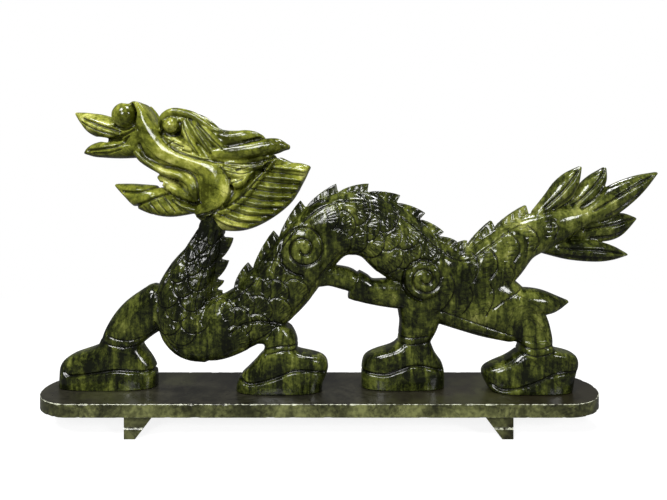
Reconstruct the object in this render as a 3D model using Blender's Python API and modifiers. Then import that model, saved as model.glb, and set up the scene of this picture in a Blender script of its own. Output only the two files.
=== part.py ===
"""Carved stone dragon on a plinth: a two-stone figure pinned to a slab that stands on two cross feet.

The script's unit is the metre, +Z up. The dragon looks along -X and its near side faces -Y.
Spines are lists of (x, z, half width) in drawing units, seen from the side: x runs along the plinth and
z starts at the paws' soles, both from the point on the plinth where the dragon is set. At the drawn height a
unit is a millimetre.
"""

import math

import bmesh
import bpy
import numpy as np
from mathutils import Matrix, Vector

# Plinth and cross feet
PLINTH_LENGTH = 0.366
PLINTH_DEPTH = 0.0564
PLINTH_THICKNESS = 0.0084
PLINTH_CHAMFER = 0.0006
FOOT_HEIGHT = 0.0137
FOOT_TOP_WIDTH = 0.0173
FOOT_SOLE_WIDTH = 0.0069
FOOT_LENGTH = 0.0530
FOOT_SPREAD = 0.2414
FOOT_GROOVE = 0.0012
FOOT_GROOVE_HEIGHT = 0.0068

# Fits and pins
SEAT_GAP = 0.0003
PIN_CLEARANCE = 0.0003
PAW_PIN_DIAMETER = 0.004
PAW_PIN_IN_PAW = 0.010
PAW_PIN_IN_PLINTH = 0.005
FOOT_PIN_DIAMETER = 0.003
FOOT_PIN_IN_FOOT = 0.007
FOOT_PIN_IN_PLINTH = 0.004
FOOT_PIN_SPACING = 0.030
NECK_PIN_DIAMETER = 0.004
NECK_PIN_IN_NECK = 0.022
NECK_PIN_IN_HEAD = 0.014

# The dragon on its plinth, and its half thicknesses from side to side
DRAGON_SET = -0.003
TRUNK_HALF = 0.0155
NECK_HALF = 0.0150
RUMP_HALF = 0.0145
LEG_HALF = 0.0110
LEG_SET_OUT = 0.0035
PAW_HALF = 0.0118
PAW_GROOVE = 0.0017
UPPER_ARM_HALF = 0.0095
FOREARM_HALF = 0.0105
SPUR_HALF = 0.0110
SPUR_SET_OUT = 0.0025
TAIL_LEAF_HALF = 0.0075
TAIL_LEAF_SET_OUT = 0.0020
PAW_SOLE_ALLOWANCE = 0.004
TIP_HALF = 0.0004

# Rows of scales on the trunk and the neck: each row swells towards its edge, which bows towards the tail
SCALE_RELIEF = 0.0008
SCALE_EDGE = 0.0005
SCALE_BOW = 0.0040

# Crest plates
PLATE_HALF = 0.0040
PLATE_TIP_HALF = 0.0020
PLATE_RISE = 0.0060
PLATE_STEP = 0.0004
PLATE_ROOT = 0.0060
PLATE_OVERHANG = 0.0014
PLATE_RISING = (0.0, 0.3, 0.65)
PLATE_CURVE = 0.6
PLATE_BACK = 0.97

# Curls on the shoulder and the hip: a boss with a groove that winds in to an eye
CURL_RADIUS = 0.0160
CURL_BOSS_HALF = 0.0050
CURL_SET_OUT = 0.0122
CURL_EYE_RADIUS = 0.0026
CURL_TURNS = 2.0
CURL_GROOVE = 0.0016
HIP_CURL_SHARE = 0.85
SHOULDER_CURL = (-6.5, 94.0)
HIP_CURL = (70.0, 75.0)

# Head
CORE_HALF = 0.0120
CHEEK_HALF = 0.0140
MUZZLE_HALF = 0.0168
LIP_HALF = 0.0148
LOWER_LIP_HALF = 0.0135
TOOTH_HALF = 0.0115
JAW_HALF = 0.0125
MANE_HALF = 0.0110
LOCK_HALF = 0.0128
LIP_LEAF_HALF = 0.0095
HORN_HALF = 0.0060
HORN_SET_OUT = 0.0080
EAR_HALF = 0.0035
EAR_SET_OUT = 0.0110
NOSE_ROLL_HALF = 0.0115
RIDGE_SET_OUT = 0.0116
EYE_RADIUS = 0.0052
EYE_SET_OUT = 0.0112
EYE_PLACE = (-93.0, 173.0)
NOSE_RADIUS = 0.0086
NOSE_SET_OUT = 0.0060
NOSE_PLACE = (-124.5, 180.0)

# A unit of the drawing
UNIT = 0.001

# Spines of the neck and chest, the trunk and the tail
NECK = [(-66.5, 115.5, 7.5), (-69.5, 103.5, 9), (-75.5, 88, 12), (-83.5, 71.5, 16.5), (-88, 54.5, 19),
        (-82, 39, 19), (-70, 33.5, 17)]
TRUNK = [(-80, 38, 16), (-66, 38.5, 20), (-41.5, 50.5, 20), (-22, 68.5, 20.5), (-6, 89.5, 20),
         (8.5, 104.5, 20.5), (24, 109, 21), (40.5, 105, 21), (56, 93, 22), (72, 81.5, 19), (87.5, 73, 18.5),
         (105, 72.5, 19), (120.5, 84.5, 17.5), (135, 97.5, 14.5), (152, 104.5, 12.5), (168.5, 110.5, 9.5),
         (186, 118.5, 2.5)]
LIMB_STEPS = 1
NECK_STEPS = 2
TRUNK_STEPS = 2

# Where each crest plate ends, counted in spans along its spine
NECK_PLATES = (1.05, 1.9, 2.6, 3.05, 3.7)
TRUNK_PLATES = (1.95, 2.75, 3.87, 4.87, 5.68, 6.4, 7.12, 7.95, 8.85, 9.6, 11.45, 12.68, 13.65)

# Legs run from the trunk to the ankle
LEG_FRONT_FAR = [(-102.5, 55.5, 15), (-117.5, 45.5, 14.5), (-128, 33.5, 13), (-132.5, 20, 13)]
LEG_FRONT_NEAR = [(-60.5, 31, 8.5), (-45.5, 37.5, 9), (-31, 39.5, 10.5), (-22.5, 32, 10.5), (-22, 21, 10.5)]
LEG_HIND_FAR = [(68.5, 59.5, 15), (69, 45, 13.5), (66, 32, 11), (65.5, 20, 11.5)]
LEG_HIND_NEAR = [(87, 58.5, 17), (112.5, 51.5, 17.5), (135.5, 45, 16), (144.5, 34, 12), (144, 24, 11.5)]

# Paws are level sections from the ankle down: (height, toe x, heel x)
PAW_FRONT_FAR = [(32, -143, -117), (28, -145, -116.5), (25.5, -150, -115.5), (23.5, -156, -114),
                 (21, -163, -112), (17.5, -168, -109.5), (13, -170.5, -107.4), (8, -171, -106.6),
                 (-1, -171.5, -106.4)]
PAW_FRONT_NEAR = [(32, -33, -15), (27.5, -33.5, -13), (25, -34.5, -8.5), (22.5, -37, 3.5), (19.5, -39.5, 7.5),
                  (14.5, -44.5, 8.5), (9.5, -49.5, 7), (4.5, -51.5, 5), (-1, -52, 4.5)]
PAW_HIND_FAR = [(34, 55.5, 76.5), (31, 55, 76.5), (28, 52.5, 77.5), (25.5, 47.5, 78.5), (23, 39, 79.5),
                (20, 33, 81.5), (15.5, 31, 84.5), (9, 30.5, 86), (-1, 30.5, 86)]
PAW_HIND_NEAR = [(33, 134, 154), (29.5, 134, 155.5), (26.5, 133, 158.5), (24, 130, 169), (20.5, 124, 172),
                 (16.5, 114.5, 172.5), (13, 110, 171.5), (7.5, 110.5, 170), (-1, 115, 168.5)]

# Where a groove parts each paw from its sole
SOLE_FRONT_FAR = [(-163, 9.5), (-151, 10), (-138, 12), (-128.5, 13), (-115.5, 11.5), (-108, 11)]
SOLE_FRONT_NEAR = [(-45, 7), (-34, 8), (-23.5, 11), (-14.5, 14.5), (-4.5, 15), (4, 13)]
SOLE_HIND_FAR = [(33, 11), (47, 10.5), (55, 13), (62.5, 15.5), (71, 15.5), (82, 12.5)]
SOLE_HIND_NEAR = [(115, 4.5), (131, 4.5), (141, 7), (151.5, 11.5), (159, 13.5), (168, 13)]

# The rump over the hind legs, the stepped arm under the arch, the spur on the hind leg and the tail's leaves
RUMP = [(71, 62, 13), (87, 63.5, 15.5), (103.5, 61, 18.5), (119.5, 56, 20), (132.5, 49.5, 16), (144, 41, 9.5)]
UPPER_ARM = [(-10, 81.5, 5), (-0.5, 75, 7.5), (9.5, 74.5, 7), (19.5, 72.5, 7.5), (24.5, 70.5, 7)]
FOREARM = [(25.5, 68.5, 9.8), (30, 66.5, 9.4), (36, 64, 8.2), (45.5, 63, 9), (56.5, 62.5, 9.8), (68.5, 61, 8)]
SPUR = [(115.5, 55.5, 6), (128.5, 57.5, 8.5), (142, 57.5, 9), (154.5, 56.5, 7), (167, 57.5, 0.5)]
TAIL_LEAVES = [
    [(146, 115, 3.5), (155.5, 123, 6), (163.5, 130.5, 8), (169.5, 138.5, 6), (175.5, 146.5, 0.5)],
    [(164.5, 117, 4), (175, 123.5, 6), (183.5, 131.5, 7.5), (189.5, 139, 5.5), (193.5, 146, 0.5)],
    [(176.5, 112, 6), (190.5, 120.5, 9.5), (202.5, 128, 9), (214.5, 135.5, 6), (226, 142.5, 0.5)],
    [(170, 102.5, 5.5), (184.5, 104.5, 8.5), (197, 106.5, 9), (206.5, 110, 6), (214, 112, 0.5)],
    [(151, 93.5, 4.5), (167.5, 91.5, 6.5), (184.5, 90.5, 7), (196, 89.5, 5), (206, 88.5, 0.5)],
]

# The head's core
SNOUT = [(-125, 176, 9), (-115, 167, 13), (-104, 160, 13.5), (-89.5, 153.5, 14), (-73, 145.5, 15)]
BROW = [(-98.5, 174.5, 7.5), (-88, 175.5, 8), (-76, 168, 8), (-61.5, 163, 8), (-46.5, 163.5, 7)]
CHEEK = [(-85, 141.5, 8), (-73, 135, 15), (-62.5, 128.5, 13), (-56, 122, 6)]
TEMPLE = [(-92, 159, 9), (-72, 153, 12.5), (-55, 147, 13.5), (-38, 148, 8.5), (-24, 153, 2.5)]

# The muzzle's sweep from the nose round the cheek, the lips, the tooth plate and the jaw
MUZZLE = [(-110, 177, 5), (-106, 166.5, 6.5), (-99, 158, 6), (-90, 153, 5.5), (-78.5, 149, 5.5),
          (-67.5, 144.5, 7), (-63.5, 136.5, 9), (-64.5, 127.5, 9.5), (-69.5, 120.5, 6.5), (-75, 116, 3)]
LIP = [(-116, 156, 3), (-111.5, 151.5, 3.6), (-104, 147, 3.9), (-96, 143, 3.9), (-87, 140.5, 3.9),
       (-81, 135.5, 3.5), (-79, 129, 3), (-76, 124.5, 1.3)]
LOWER_LIP = [(-92.5, 125.5, 1.6), (-84, 120.5, 2.6), (-77, 118, 2.9), (-71.5, 119.5, 2)]
TOOTH = [(-102.5, 140, 2), (-95, 134, 4.2), (-86.5, 128.5, 3.9), (-77, 123, 1.3)]
JAW = [(-80, 118.5, 3.2), (-94.5, 120.5, 7.5), (-105, 124, 9.5), (-115, 127, 8.2), (-123, 130.5, 5.2),
       (-132.5, 134.5, 0.8)]
LIP_LEAF_UPPER = [(-121.5, 170, 5), (-134.5, 171.5, 7.5), (-145.5, 174.5, 7.5), (-153, 178.5, 4.5),
                  (-159, 182, 0.5)]
LIP_LEAF_LOWER = [(-116, 159, 6.5), (-129.5, 158, 6), (-141, 158, 5.5), (-148, 157, 4), (-153, 155.5, 0.5)]

# The horns, the ears' leaves, the nose's roll, the brow with its locks and the ridge behind the cheek
HORN_UPPER = [(-66, 167.5, 3.2), (-54.5, 165.5, 3.6), (-46, 166.5, 3.9), (-38.5, 166.5, 2.7),
              (-34.5, 165.5, 0.6)]
HORN_LOWER = [(-65.5, 155, 4.2), (-55, 156, 5.4), (-44.5, 157, 6), (-34.5, 159, 5.6), (-25, 160.5, 4.5),
              (-19.5, 160, 2)]
EAR_LEAVES = [[(-59, 148.5, 1.4), (-47, 146.5, 2.6), (-36.5, 147, 2.6), (-28, 150, 0.8)],
              [(-63, 145.5, 2), (-54, 142, 3.9), (-44.5, 141.5, 2.3), (-39, 143.5, 0.6)],
              [(-56, 137, 1.6), (-49.5, 135.5, 3.2), (-43, 140.5, 1.3)]]
NOSE_ROLL = [(-123, 187.5, 2), (-116, 187.5, 2.4), (-111.5, 182, 2.6), (-112, 175, 2.4), (-116, 169.5, 2.1)]
BROW_BAND = [(-99.5, 169.5, 1.3), (-99.5, 175.5, 2), (-96.5, 180, 2.3), (-90.5, 182, 2.5), (-80, 180, 2.5),
             (-73, 176, 2.3), (-67, 171.5, 1.9), (-60, 169, 1.3)]
BROW_LOCKS = [[(-86.5, 176.5, 1.3), (-83, 167.5, 2.2), (-78.5, 160, 2.2), (-72, 152.5, 1)],
              [(-82, 176.5, 1.3), (-76, 168, 2.4), (-69.5, 160, 2.4), (-64, 152.5, 1)],
              [(-77.5, 175.5, 1.3), (-70, 169, 2.6), (-64, 162, 2.6), (-57.5, 157, 1)]]
EYE_LEAF = [(-98, 166.5, 1.3), (-93, 163.5, 2.9), (-86.5, 160, 2.6), (-80.5, 157, 1)]
JAW_RIDGE = [(-25.5, 151, 1.3), (-38, 136.5, 2.2), (-45.5, 126.5, 2.3), (-53.5, 120.5, 2.3), (-64, 115.5, 2)]

# The mane: a plate, and locks over it from their roots along the ridge to their tips along the plate's edge
MANE = [(-76, 117, 5), (-65.5, 113.5, 8.5), (-50.5, 117, 13.5), (-36, 126, 15.5), (-22, 136.5, 14),
        (-10, 143.5, 6.5), (-3.5, 146.5, 0.5)]
LOCK_COUNT = 8
LOCK_ROOTS = [(-32, 147, 2.4), (-46.5, 127.5, 2.7), (-66, 115, 2.4)]
LOCK_MIDDLES = [(-19.5, 145.5, 2.6), (-33, 124.5, 2.9), (-56, 109.5, 2.5)]
LOCK_TIPS = [(-7, 143.5, 1.8), (-18, 124, 2.2), (-43.5, 107, 1.8)]

# Facets
WELD = 0.00001
RING_SIDES = 10
TRUNK_SIDES = 12
PIN_SIDES = 12
LEAF_SIDES = 8
RIDGE_SIDES = 6
BALL_SIDES = 10
ARC_STEPS = 12
CURL_STEPS = 9
ROUND = 0.6
BLUNT = 0.2
FULL = 1.0
POINT = 0.0
SQUARE = 2.6
PAW_SQUARE = 3.0
LEAF_SQUARE = 1.8
ROUND_SQUARE = 2.0
TAPER = 0.5
EVEN_TAPER = 0.3
MANE_TAPER = 0.25
ANKLE_SHARE = 0.82
DOME_ANGLES = (math.radians(58),)
SHARP_ANGLE = math.radians(60)

NEAR = -1
FAR = 1


def start_scene():
    """Empty the scene, then add the two collections, the root empty and the dragon's own empty."""
    for obj in list(bpy.data.objects):
        bpy.data.objects.remove(obj, do_unlink=True)
    parts = bpy.data.collections.new("carved_dragon")
    cutters = bpy.data.collections.new("carved_dragon_cutters")
    for collection in (parts, cutters):
        bpy.context.scene.collection.children.link(collection)
    root = bpy.data.objects.new("figure_root", None)
    dragon = bpy.data.objects.new("dragon_root", None)
    dragon.parent = root
    dragon.location = (DRAGON_SET, 0.0, SOLE)
    for empty in (root, dragon):
        parts.objects.link(empty)
    return parts, cutters, root, dragon


PLINTH_TOP = FOOT_HEIGHT + SEAT_GAP + PLINTH_THICKNESS
SOLE = PLINTH_TOP + SEAT_GAP
PARTS, CUTTERS, ROOT, DRAGON = start_scene()


def stone(name, colour, roughness, metallic=0.0):
    """A Principled material with one colour."""
    material = bpy.data.materials.new(name)
    material.use_nodes = True
    shader = material.node_tree.nodes["Principled BSDF"]
    shader.inputs["Base Color"].default_value = (*colour, 1.0)
    shader.inputs["Roughness"].default_value = roughness
    shader.inputs["Metallic"].default_value = metallic
    return material


def new_object(name, mesh, collection):
    """An object for a mesh, linked into a collection."""
    obj = bpy.data.objects.new(name, mesh)
    collection.objects.link(obj)
    return obj


def mesh_object(name, bm, collection=CUTTERS):
    """An object made from a bmesh, its faces turned outwards."""
    bmesh.ops.recalc_face_normals(bm, faces=bm.faces)
    mesh = bpy.data.meshes.new(name)
    bm.to_mesh(mesh)
    bm.free()
    return new_object(name, mesh, collection)


def baked(obj):
    """The object's mesh with its modifiers applied."""
    graph = bpy.context.evaluated_depsgraph_get()
    return bpy.data.meshes.new_from_object(obj.evaluated_get(graph))


def curve_solid(name, curve):
    """A closed mesh object from a curve, its caps welded on."""
    carrier = new_object(name, curve, CUTTERS)
    mesh = baked(carrier)
    bpy.data.objects.remove(carrier, do_unlink=True)
    bm = bmesh.new()
    bm.from_mesh(mesh)
    bmesh.ops.remove_doubles(bm, verts=bm.verts, dist=WELD)
    return mesh_object(name, bm)


def spine_rows(spine, steps):
    """Rows on a smooth curve through the spine's points, so many to a span, in metres."""
    points = np.array(spine, dtype=float) * UNIT
    padded = np.vstack([2 * points[0] - points[1], points, 2 * points[-1] - points[-2]])
    rows = [points[0]]
    for a, b, c, d in zip(padded, padded[1:], padded[2:], padded[3:]):
        for step in range(1, steps + 1):
            t = step / steps
            cubic = (3 * (b - c) + d - a) * t**3 + (2 * a - 5 * b + 4 * c - d) * t**2
            rows.append((cubic + (c - a) * t + 2 * b) / 2)
    return np.array(rows)


def headings(rows):
    """Unit directions along the rows, in the side view."""
    steps = np.gradient(rows[:, :2], axis=0)
    return steps / np.linalg.norm(steps, axis=1)[:, None]


def super_ring(sides, square):
    """Points round a squared ellipse of half size one."""
    angles = np.arange(sides) * 2 * math.pi / sides
    across = np.sign(np.cos(angles)) * np.abs(np.cos(angles)) ** (2 / square)
    deep = np.sign(np.sin(angles)) * np.abs(np.sin(angles)) ** (2 / square)
    return list(zip(across, deep))


def ring_solid(name, rings):
    """A closed body over rows of points, each a ring with the same number of points."""
    bm = bmesh.new()
    made = [[bm.verts.new(point) for point in ring] for ring in rings]
    for lower, upper in zip(made, made[1:]):
        for k in range(len(lower)):
            bm.faces.new((lower[k - 1], lower[k], upper[k], upper[k - 1]))
    bm.faces.new(made[0])
    bm.faces.new(made[-1])
    return mesh_object(name, bm)


def loft(name, spine, half, y=0.0, sides=RING_SIDES, steps=LIMB_STEPS, ends=(ROUND, ROUND), taper=TAPER,
         square=SQUARE, grow=0.0, scales=False):
    """A closed body swept along a spine: thickest where it is widest, with rounded or pointed ends.

    With scales, it swells from one spine point to the next and steps back there.
    """
    rows = spine_rows(spine, steps)
    rows[:, 2] = np.maximum(rows[:, 2], TIP_HALF)
    widest = rows[:, 2].max()
    sections = []
    for number, ((x, z, wide), way) in enumerate(zip(rows, headings(rows))):
        deep = half * (wide / widest) ** taper + grow
        place = np.array((x, z))
        swell = SCALE_RELIEF * (number % steps) / steps if scales else 0.0
        if scales and number and number % steps == 0:
            sections.append((place - way * SCALE_EDGE, way, wide + grow, deep + SCALE_RELIEF, y))
        sections.append((place, way, wide + grow, deep + swell, y))
    sections = dome(sections[0], -1, ends[0])[::-1] + sections + dome(sections[-1], 1, ends[1])
    bow = SCALE_BOW if scales else 0.0
    rings = []
    for place, way, wide, deep, offset in sections:
        ring = []
        for across, inward in super_ring(sides, square):
            along = bow * (1 - across**2)
            x = place[0] - way[1] * wide * across + way[0] * along
            z = place[1] + way[0] * wide * across + way[1] * along
            ring.append((x, offset + deep * inward, z))
        rings.append(ring)
    return ring_solid(name, rings)


def dome(section, way_sign, length):
    """Sections that close an end in a round cap; none for a pointed end."""
    if length == POINT:
        return []
    place, way, wide, deep, offset = section
    caps = []
    for angle in DOME_ANGLES:
        reach = way_sign * length * wide * math.sin(angle)
        caps.append((place + way * reach, way, wide * math.cos(angle), deep * math.cos(angle), offset))
    return caps


def pair(name, spine, half, set_out, **shape):
    """The same loft on both sides of the figure."""
    return [loft(f"{name}_{side}", spine, half, y=side * set_out, **shape) for side in (NEAR, FAR)]


def ridge(name, spine, set_out):
    """A round ridge along a spine on both sides of the figure."""
    return pair(name, spine, max(point[2] for point in spine) * UNIT, set_out, sides=RIDGE_SIDES,
                ends=(FULL, FULL), taper=1.0, square=ROUND_SQUARE)


def paw(name, levels, y):
    """A paw stacked from level sections, shallower at the ankle; the sole runs on below its cut."""
    rings = []
    for share, (height, toe, heel) in zip(np.linspace(ANKLE_SHARE, 1.0, len(levels)), levels):
        middle = (toe + heel) / 2 * UNIT
        reach = (heel - toe) / 2 * UNIT
        rings.append([(middle + reach * along, y + PAW_HALF * share * deep, height * UNIT)
                      for along, deep in super_ring(RING_SIDES, PAW_SQUARE)])
    return ring_solid(name, rings)


def mane_locks():
    """The mane's locks, set evenly between the first and the last."""
    places = (LOCK_COUNT - 1) / 2
    made = []
    for number in range(LOCK_COUNT):
        part = number / places
        spine = []
        for first, middle, last in (LOCK_ROOTS, LOCK_MIDDLES, LOCK_TIPS):
            weights = ((1 - part) * (2 - part) / 2, part * (2 - part), part * (part - 1) / 2)
            spine.append(tuple(np.dot(weights, (first, middle, last))))
        made.append(loft(f"mane_lock_{number}", spine, LOCK_HALF, sides=LEAF_SIDES, square=ROUND_SQUARE))
    return made


def crest(name, spine, steps, plates, backwards):
    """Saw-tooth plates along the upper edge of a spine; each rises to a tip that overhangs the next."""
    rows = spine_rows(spine, steps)
    ways = headings(rows)

    def edge(place, lift):
        """A point over the spine's upper edge, at a place counted in spans."""
        at = place * steps
        low = int(at)
        part = at - low
        row = rows[low] * (1 - part) + rows[low + 1] * part
        way = ways[low] * (1 - part) + ways[low + 1] * part
        normal = np.array((-way[1], way[0]))
        return row[:2] + normal * (row[2] + lift), way

    made = []
    for number, (start, end) in enumerate(zip(plates, plates[1:])):
        if backwards:
            start, end = end, start
        length = end - start
        top = []
        for t in PLATE_RISING:
            lift = PLATE_STEP + (PLATE_RISE - PLATE_STEP) * t**PLATE_CURVE
            top.append(edge(start + length * t, lift)[0])
        tip, way = edge(end, PLATE_RISE)
        top.append(tip + way * PLATE_OVERHANG * (-1 if backwards else 1))
        roots = [edge(start + length * t, -PLATE_ROOT)[0] for t in (PLATE_BACK, *reversed(PLATE_RISING))]
        notch = edge(start + length * PLATE_BACK, PLATE_STEP)[0]
        made.append(plate_solid(f"{name}_{number}", top, [notch] + roots))
    return made


def plate_solid(name, top, rest):
    """A plate with a side-view outline, thinner along its top edge than at its root."""
    bm = bmesh.new()
    faces = []
    for side in (NEAR, FAR):
        near_top = [bm.verts.new((x, side * PLATE_TIP_HALF, z)) for x, z in top]
        near_rest = [bm.verts.new((x, side * PLATE_HALF, z)) for x, z in rest]
        faces.append(near_top + near_rest)
        bm.faces.new(faces[-1])
    for k in range(len(faces[0])):
        bm.faces.new((faces[0][k - 1], faces[0][k], faces[1][k], faces[1][k - 1]))
    return mesh_object(name, bm)


def groove_bar(name, points, radius):
    """A bar with a square section along points, to cut a groove with."""
    curve = bpy.data.curves.new(name, "CURVE")
    curve.dimensions = "3D"
    curve.bevel_depth = radius
    curve.bevel_resolution = 0
    curve.use_fill_caps = True
    spline = curve.splines.new("POLY")
    spline.points.add(len(points) - 1)
    for point, place in zip(spline.points, points):
        point.co = (*place, 1.0)
    return curve_solid(name, curve)


def curl_groove(name, centre, side, radius):
    """A bar that winds inwards to an eye along the face of a boss."""
    steps = int(CURL_TURNS * CURL_STEPS)
    points = []
    for step in range(steps + 1):
        t = step / steps
        angle = -t * CURL_TURNS * 2 * math.pi - math.pi / 2
        reach = radius + (CURL_EYE_RADIUS - radius) * t
        x = centre[0] * UNIT + reach * math.cos(angle)
        z = centre[1] * UNIT + reach * math.sin(angle)
        surface = max(CURL_SET_OUT + CURL_BOSS_HALF * math.sqrt(1 - (reach / radius) ** 2), TRUNK_HALF)
        points.append((x, side * surface, z))
    return groove_bar(name, points, CURL_GROOVE)


def ball(name, place, y, radius, half):
    """A round boss, as deep as asked."""
    bm = bmesh.new()
    middle = Matrix.Translation((place[0] * UNIT, y, place[1] * UNIT))
    where = middle @ Matrix.Diagonal((radius, half, radius, 1.0))
    bmesh.ops.create_uvsphere(bm, u_segments=BALL_SIDES, v_segments=BALL_SIDES // 2, radius=1.0, matrix=where)
    return mesh_object(name, bm)


def unite(name, pieces):
    """One closed body from overlapping pieces, which are used up."""
    first, *others = pieces
    group = bpy.data.collections.new(name + "_pieces")
    for piece in others:
        group.objects.link(piece)
    join = first.modifiers.new("join", "BOOLEAN")
    join.operation = "UNION"
    join.operand_type = "COLLECTION"
    join.collection = group
    mesh = baked(first)
    for piece in pieces:
        bpy.data.objects.remove(piece, do_unlink=True)
    bpy.data.collections.remove(group)
    return new_object(name, mesh, PARTS)


def cut(target, cutter, parent):
    """Take a cutter's shape out of a part; the cutter stays as a wire guide."""
    cutter.hide_render = True
    cutter.display_type = "WIRE"
    cutter.parent = parent
    boolean = target.modifiers.new("cut_" + cutter.name, "BOOLEAN")
    boolean.operation = "DIFFERENCE"
    boolean.object = cutter


def rod(name, low, high, diameter):
    """A straight round bar between two points."""
    axis = Vector(high) - Vector(low)
    bm = bmesh.new()
    bmesh.ops.create_cone(bm, cap_ends=True, segments=PIN_SIDES, radius1=diameter / 2, radius2=diameter / 2,
                          depth=axis.length)
    turn = Vector((0, 0, 1)).rotation_difference(axis).to_matrix().to_4x4()
    middle = (Vector(low) + Vector(high)) / 2
    bm.transform(Matrix.Translation(middle) @ turn)
    return mesh_object(name, bm)


def pin_in_bores(name, low, high, diameter, holders, parent):
    """A steel pin and the bores that take it, a clearance wider and longer than the pin."""
    slack = (Vector(high) - Vector(low)).normalized() * PIN_CLEARANCE
    bore = rod(name + "_bore", Vector(low) - slack, Vector(high) + slack, diameter + 2 * PIN_CLEARANCE)
    for holder in holders:
        cut(holder, bore, parent)
    return rod(name, low, high, diameter)


def box_cutter(name, low, high):
    """A block between two corners."""
    bm = bmesh.new()
    bmesh.ops.create_cube(bm, size=1.0)
    size = Vector(high) - Vector(low)
    bm.transform(Matrix.Translation((Vector(low) + Vector(high)) / 2) @ Matrix.Diagonal((*size, 1.0)))
    return mesh_object(name, bm)


def outline_solid(name, points, half):
    """A flat outline given as (x, y), extruded to both sides."""
    curve = bpy.data.curves.new(name, "CURVE")
    curve.dimensions = "2D"
    curve.fill_mode = "BOTH"
    curve.extrude = half
    spline = curve.splines.new("POLY")
    spline.points.add(len(points) - 1)
    spline.use_cyclic_u = True
    for point, (x, y) in zip(spline.points, points):
        point.co = (x, y, 0.0, 1.0)
    return curve_solid(name, curve)


def keep(obj, material, parent):
    """Put a finished part in the figure's collection, with its parent and material."""
    if obj.name in CUTTERS.objects:
        CUTTERS.objects.unlink(obj)
        PARTS.objects.link(obj)
    obj.data.materials.clear()
    obj.data.materials.append(material)
    obj.parent = parent


LEGS = {
    "front_far": (LEG_FRONT_FAR, PAW_FRONT_FAR, SOLE_FRONT_FAR, FAR),
    "front_near": (LEG_FRONT_NEAR, PAW_FRONT_NEAR, SOLE_FRONT_NEAR, NEAR),
    "hind_far": (LEG_HIND_FAR, PAW_HIND_FAR, SOLE_HIND_FAR, FAR),
    "hind_near": (LEG_HIND_NEAR, PAW_HIND_NEAR, SOLE_HIND_NEAR, NEAR),
}
CURLS = {"shoulder_curl": (SHOULDER_CURL, CURL_RADIUS), "hip_curl": (HIP_CURL, CURL_RADIUS * HIP_CURL_SHARE)}


def build_body():
    """Neck, trunk, legs, paws, crest, arm and tail in one stone, in the dragon's own frame."""
    pieces = [
        loft("trunk", TRUNK, TRUNK_HALF, sides=TRUNK_SIDES, steps=TRUNK_STEPS, scales=True),
        loft("neck", NECK, NECK_HALF, sides=TRUNK_SIDES, steps=NECK_STEPS),
        loft("rump", RUMP, RUMP_HALF),
        loft("upper_arm", UPPER_ARM, UPPER_ARM_HALF, ends=(ROUND, BLUNT)),
        loft("forearm", FOREARM, FOREARM_HALF, ends=(BLUNT, ROUND)),
        loft("spur", SPUR, SPUR_HALF, y=-SPUR_SET_OUT, ends=(ROUND, POINT)),
    ]
    for name, (leg, levels, sole, side) in LEGS.items():
        out = side * LEG_SET_OUT
        pieces.append(loft("leg_" + name, leg, LEG_HALF, y=out))
        pieces.append(paw("paw_" + name, levels, out))
    for number, leaf in enumerate(TAIL_LEAVES):
        out = TAIL_LEAF_SET_OUT * (FAR if number % 2 else NEAR)
        pieces.append(loft(f"tail_leaf_{number}", leaf, TAIL_LEAF_HALF, y=out, sides=LEAF_SIDES,
                           ends=(ROUND, POINT), square=LEAF_SQUARE))
    pieces += crest("neck_plate", NECK, NECK_STEPS, NECK_PLATES, backwards=True)
    pieces += crest("trunk_plate", TRUNK, TRUNK_STEPS, TRUNK_PLATES, backwards=False)
    for side in (NEAR, FAR):
        for name, (centre, radius) in CURLS.items():
            pieces.append(ball(f"{name}_{side}", centre, side * CURL_SET_OUT, radius, CURL_BOSS_HALF))
    body = unite("body", pieces)
    for side in (NEAR, FAR):
        for name, (centre, radius) in CURLS.items():
            cut(body, curl_groove(f"{name}_groove_{side}", centre, side, radius), DRAGON)
        for name, (leg, levels, sole, set_out) in LEGS.items():
            face = set_out * LEG_SET_OUT + side * PAW_HALF
            points = [(x * UNIT, face, z * UNIT) for x, z in sole]
            cut(body, groove_bar(f"sole_{name}_{side}", points, PAW_GROOVE), DRAGON)
    return body


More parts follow.
